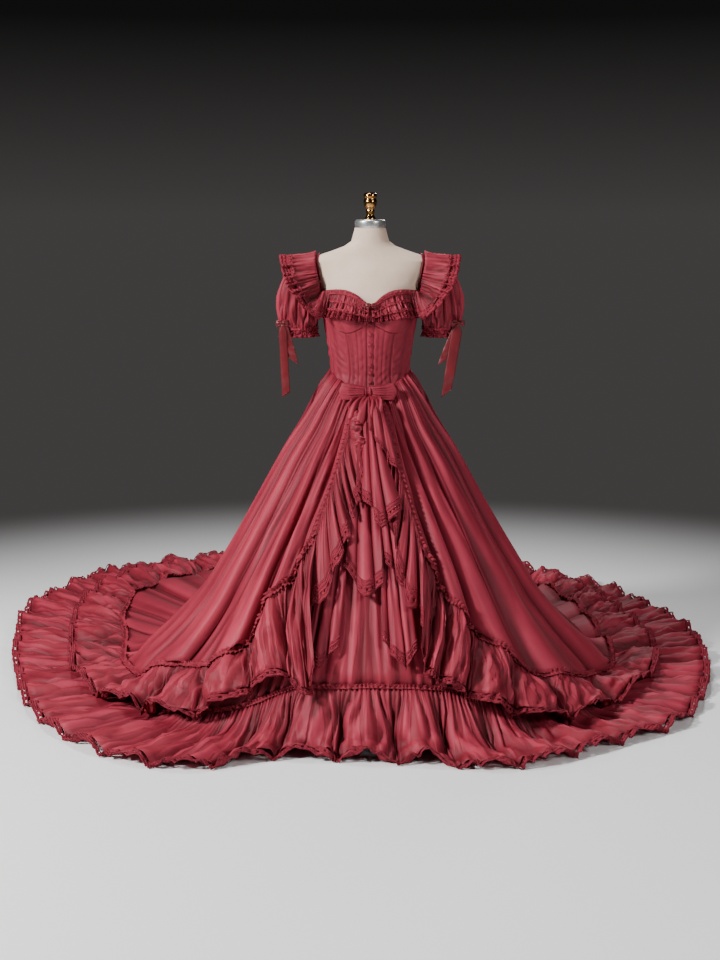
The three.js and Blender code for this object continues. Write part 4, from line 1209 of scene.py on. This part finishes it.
tails = {
    "left": [(25, 230, 10, 16), (31, 125, 34, -22)],
    "right": [(32, 226, 34, 26), (26, 130, 50, 14)],
}
for side_name, sign in SIDES:
    knot = (sign * 274.6, -59.6, 1194)
    tie_bow(
        f"sleeve_tie_{side_name}", knot, 20, 5, 11, 6, 2, 3, f"sleeve_bow_{side_name}", ribbon_look,
    )
    for number, (width, drop, drift, slant) in enumerate(tails[side_name]):
        start = (knot[0], knot[1] - 5.5 + 4 * number, knot[2])
        sew(
            f"sleeve_tie_end_{number + 1}_{side_name}", 10, 40,
            tail_place(start, width, drop, -sign * drift, slant, number + 3), ribbon_look,
            [], thick=0.5,
        )
tie_bow(
    "neck_tie", (2, -125.3, 1252), 17, 4, 9, 5, 2, 2, "neck_bow", ribbon_look,
)

# Waist bow: a wide flat bow of the gown's cloth, pleated toward its knot and sewn over the
# top of the opening.
tie_bow(
    "waist_tie", (-7, -118.6, 984), 86, 11, 27, 9, 6, -1, "waist_bow", cloth_look,
)

# Cascades: gathered frills with a lace edge, sewn under the headings of the opening. Each
# falls in flutes that lap back on themselves, so the edge runs in zigzags.
cascade_edges = {
    -1: table("along angle radius", [
        (0, -3, 235), (0.2, -5, 310), (0.4, -8, 352), (0.55, -9, 385), (0.7, -12, 425),
        (0.85, -16, 485), (1, -22, 555),
    ]),
    1: table("along angle radius", [
        (0, 9, 235), (0.2, 10, 300), (0.4, 9, 345), (0.55, 11, 385), (0.7, 10, 430),
        (0.85, 13, 500), (1, 18, 545),
    ]),
}
CASCADE_FLUTES = 7


def cascade_place(sign, near, far, raised):
    down_edge = np.linspace(0.12, 1, 400)
    front_edge = overskirt_place(sign, 0, SKIRT_COLUMNS)
    spot, _, length = even_line(*line_on(front_edge, 0 * down_edge + 0.002, down_edge))

    def place(across, down):
        drop = mix(near, far, down)
        turn = across * CASCADE_FLUTES * 2 * np.pi + 1.3 * uneven(across, 5, 14 + sign)
        grown = ease(drop * 1.3)
        start = line_at(spot, across * (1 - 9 / length))
        start_radius = np.hypot(start[:, 0], start[:, 1])
        start_angle = np.degrees(np.arctan2(start[:, 0], -start[:, 1]))
        at = np.clip(across + 0.052 * np.sin(turn), -0.05, 1.05)
        free_angle, free_radius = read_all(cascade_edges[sign], at)
        free_radius = free_radius + 17 * np.cos(turn + 0.9) + 9 * uneven(across, 17, 15)
        free_angle = free_angle - sign * 1.2 * np.cos(turn)
        degrees = mix(start_angle, free_angle, drop)
        radius = mix(start_radius, free_radius, drop)
        lift = 9 + 14 * np.cos(turn) * grown + raised + 1.6 * np.sin(9 * turn) * (1 - grown)
        return on_skirt(skirt_form, degrees, radius, lift)
    return place


for side_name, sign in SIDES:
    cascade = sew(
        f"cascade_{side_name}_cloth", 260, 18, cascade_place(sign, 0, 0.82, 0), gathered_look,
        [f"cascade_{side_name}"],
        thick=SOFT_CLOTH,
    )
    sew_lace(
        f"cascade_{side_name}_lace", 240, cascade_place(sign, 0.79, 1.0, 1.0), [],
    )

# Falls in the opening: lengths of cloth with pointed, lace-edged ends. Two hang from the seam
# behind the bow, one over the other, and the rest from the underskirt behind the cascades.
fall_names = "across top_angle top top_lift low_angle low low_lift"
falls = [
    ("upper", ["jabot_upper"], 3.5, 9, "waist_tie_loop_left", [
        (0, -11, 112.7, 2, -7, 318, 14), (0.35, -5, 112.7, 2, 0.6, 352, 22),
        (0.6, -1, 112.7, 2, 4, 388, 28), (0.85, 2, 112.7, 2, 11.5, 366, 24),
        (1, 4, 112.7, 2, 15, 350, 18),
    ]),
    ("lower", ["jabot_lower"], 4.5, 8, "underskirt_front_cloth", [
        (0, -12, 235, -24, -10, 445, -8), (0.22, -4, 235, -24, -2, 492, -4),
        (0.42, 1, 235, -24, 5, 470, -6), (0.5, 2, 235, -24, 4.5, 425, -10),
        (0.75, 5, 235, -24, 9, 455, -4), (1, 8, 235, -24, 14, 500, -4),
    ]),
    ("side", [], 2.5, 7, "waist_tie_loop_right", [
        (0, -3, 116, 8, -1, 206, 36), (0.3, 2, 116, 8, 5, 232, 38), (0.65, 8, 116, 8, 12, 272, 32),
        (1, 13, 120, 4, 17, 290, 20),
    ]),
    ("long_left", [], 2.5, 7, "underskirt_front_cloth", [
        (0, -20, 392, -14, -19.5, 575, -12), (0.4, -15, 392, -18, -15, 600, -8),
        (1, -9, 385, -20, -9.5, 560, -14),
    ]),
    ("long_right", [], 2.5, 7, "underskirt_front_cloth", [
        (0, 4, 392, -22, 3.5, 555, -14), (0.6, 10, 392, -18, 10, 602, -8),
        (1, 15, 400, -14, 15, 560, -12),
    ]),
]


def fall_place(count, depth, rows, near, far, raised, seed):
    def place(across, down):
        drop = mix(near, far, down)
        top_angle, top, top_lift, low_angle, low, low_lift = read_all(rows, across)
        turn = across * count * 2 * np.pi + 0.9 * uneven(across, 3, seed)
        grown = ease(drop * 1.6)
        wave = depth * np.cos(turn) * grown + 1.6 * np.sin(turn * 5) * (1 - grown)
        wave = wave + 2.5 * crumple(across, drop, 4, seed) * grown
        width = rows["low_angle"][-1] - rows["low_angle"][0]
        pull = 0.8 * np.sin(turn) * width / (2 * np.pi * count) * grown
        degrees = mix(top_angle, low_angle, drop) + pull
        stand = mix(top_lift, low_lift, ease(drop * 2.5)) + wave + raised
        return on_skirt(skirt_form, degrees, mix(top, low, drop), stand)
    return place


for number, (name, nodes, count, depth, carrier, rows) in enumerate(falls):
    rows = table(fall_names, rows)
    fall = sew(
        f"fall_{name}_cloth", 80, 30, fall_place(count, depth, rows, 0, 0.93, 0, number + 5),
        cloth_look, nodes, thick=SOFT_CLOTH,
    )
    sew_lace(
        f"fall_{name}_lace", 70, fall_place(count, depth, rows, 0.90, 1.0, 1.5, number + 5), [],
    )

# Frills under the bow: two strips gathered on one edge and free on the other. One puffs out
# under the bow's lower edge, and one curls down the left of the opening from it.
frill_names = "along sewn_angle sewn sewn_lift free_angle free free_lift"
bow_frills = [
    ("puff", 4.5, 10, 20, [
        (0, -19, 121, 3, -25, 162, 8), (0.3, -9, 119, 4, -14, 186, 16),
        (0.6, 1, 119, 4, 0, 184, 18), (1, 14, 121, 3, 14, 164, 10),
    ]),
    ("curl", 2.5, 8, 7, [
        (0, -18, 138, 8, -9, 150, 18), (0.35, -19, 175, 12, -8.5, 182, 24),
        (0.7, -16, 208, 15, -5.5, 216, 27), (1, -10, 238, 16, -5, 243, 22),
    ]),
]


def bow_frill_place(count, depth, bulge, rows, seed):
    def place(across, down):
        sewn_angle, sewn, sewn_lift, free_angle, free, free_lift = read_all(rows, across)
        turn = 2 * np.pi * count * across + 1.5 * uneven(across, 4, seed)
        wave = depth * creased(turn + 1.4 * down, 0.5) * ease(down * 1.3)
        rumple = 3.6 * crumple(across, 1.2 * down, 6, seed + 1) * ease(down * 3)
        rumple = rumple + 1.6 * np.sin(5 * turn) * (1 - ease(down * 1.5))
        stand = mix(sewn_lift, free_lift, down) + bulge * np.sin(np.pi * down) + wave + rumple
        degrees = mix(sewn_angle, free_angle, down) + 1.6 * np.sin(turn + 0.8) * down
        radius = mix(sewn, free, down) + 4 * np.cos(turn + 1.7) * down
        return on_skirt(skirt_form, degrees, radius, stand)
    return place


for number, (name, count, depth, bulge, rows) in enumerate(bow_frills):
    rows = table(frill_names, rows, 6)
    sew(
        f"bow_frill_{name}", 72, 20, bow_frill_place(count, depth, bulge, rows, 9 + number),
        cloth_look, [], thick=THIN_CLOTH,
    )

# Studio: a pale floor that runs on into the backdrop, with painted shade that darkens it away from
# the dress, plain soft light from four sides, and the camera at the photograph's angle and
# distance.
FLOOR_RADIUS = 6
HORIZON = (0.056, 0.053, 0.052)
floor_look = new_look("pale_floor", (0.96, 0.95, 0.95), 0.75)
# Painted shade: from 1.7 to 4 m from a point 0.8 m in front of the axis, the floor's colour gives
# way to a dark glow in the horizon colour, as if the light fell off.
place = add_node(floor_look, "ShaderNodeTexCoord")
reach = add_node(floor_look, "ShaderNodeVectorMath", operation="DISTANCE")
reach.inputs[1].default_value = (0, -0.8, 0)
painted_falloff = add_node(
    floor_look, "ShaderNodeMapRange", interpolation_type="SMOOTHSTEP", From_Min=1.7, From_Max=4.0,
)
far = add_node(floor_look, "ShaderNodeEmission", Color=(*HORIZON, 1))
blend = add_node(floor_look, "ShaderNodeMixShader")
link(floor_look, place.outputs["Object"], reach.inputs[0])
link(floor_look, reach.outputs["Value"], painted_falloff.inputs["Value"])
link(floor_look, painted_falloff.outputs["Result"], blend.inputs["Fac"])
link(floor_look, shader_of(floor_look).outputs["BSDF"], blend.inputs[1])
link(floor_look, far.outputs["Emission"], blend.inputs[2])
surface = floor_look.node_tree.nodes["Material Output"].inputs["Surface"]
link(floor_look, blend.outputs["Shader"], surface)
bm = bmesh.new()
bmesh.ops.create_circle(bm, cap_ends=True, segments=128, radius=FLOOR_RADIUS)
mesh = bpy.data.meshes.new("studio_floor")
bm.to_mesh(mesh)
bm.free()
put_in(mesh.name, mesh, floor_look)

world = bpy.data.worlds.new("studio")
world.use_nodes = True
place = add_node(world, "ShaderNodeTexCoord")
parts = add_node(world, "ShaderNodeSeparateXYZ")
link(world, place.outputs["Generated"], parts.inputs["Vector"])
sky = ramp(world, parts.outputs["Z"], (0.0, HORIZON), (0.13, (0.0070, 0.0068, 0.0066)))
link(world, sky, world.node_tree.nodes["Background"].inputs["Color"])
bpy.context.scene.world = world


def soft_light(name, place, target, size, power):
    """A round lamp behind a diffuser, in watts, which the camera doesn't see."""
    light = bpy.data.lights.new(name, "AREA")
    light.shape = "DISK"
    light.size = size
    light.energy = power
    lamp = bpy.data.objects.new(name, light)
    lamp.location = place
    lamp.rotation_euler = (Vector(target) - Vector(place)).to_track_quat("-Z", "Y").to_euler()
    lamp.visible_camera = False
    bpy.context.scene.collection.objects.link(lamp)


soft_light("key_light", (-4.1, -2.9, 3.6), (0, 0, 0.5), 0.9, 500)
soft_light("fill_light", (3.4, -3.6, 3.2), (0, 0, 0.6), 1.2, 105)
soft_light("top_light", (-0.6, 0.6, 5.0), (0, 0.3, 0.3), 1.4, 90)
soft_light("back_light", (1.5, 5.2, 3.4), (0, 0.6, 0.4), 1.4, 60)

CAMERA_DIP = 10.56
camera_data = bpy.data.cameras.new("camera")
camera_data.lens = 53.3
camera_data.sensor_width = 36
camera = bpy.data.objects.new("camera", camera_data)
camera.location = (-0.032, -4.52, 1.525)
camera.rotation_euler = (math.radians(90 - CAMERA_DIP), 0, 0)
bpy.context.scene.collection.objects.link(camera)
bpy.context.scene.camera = camera
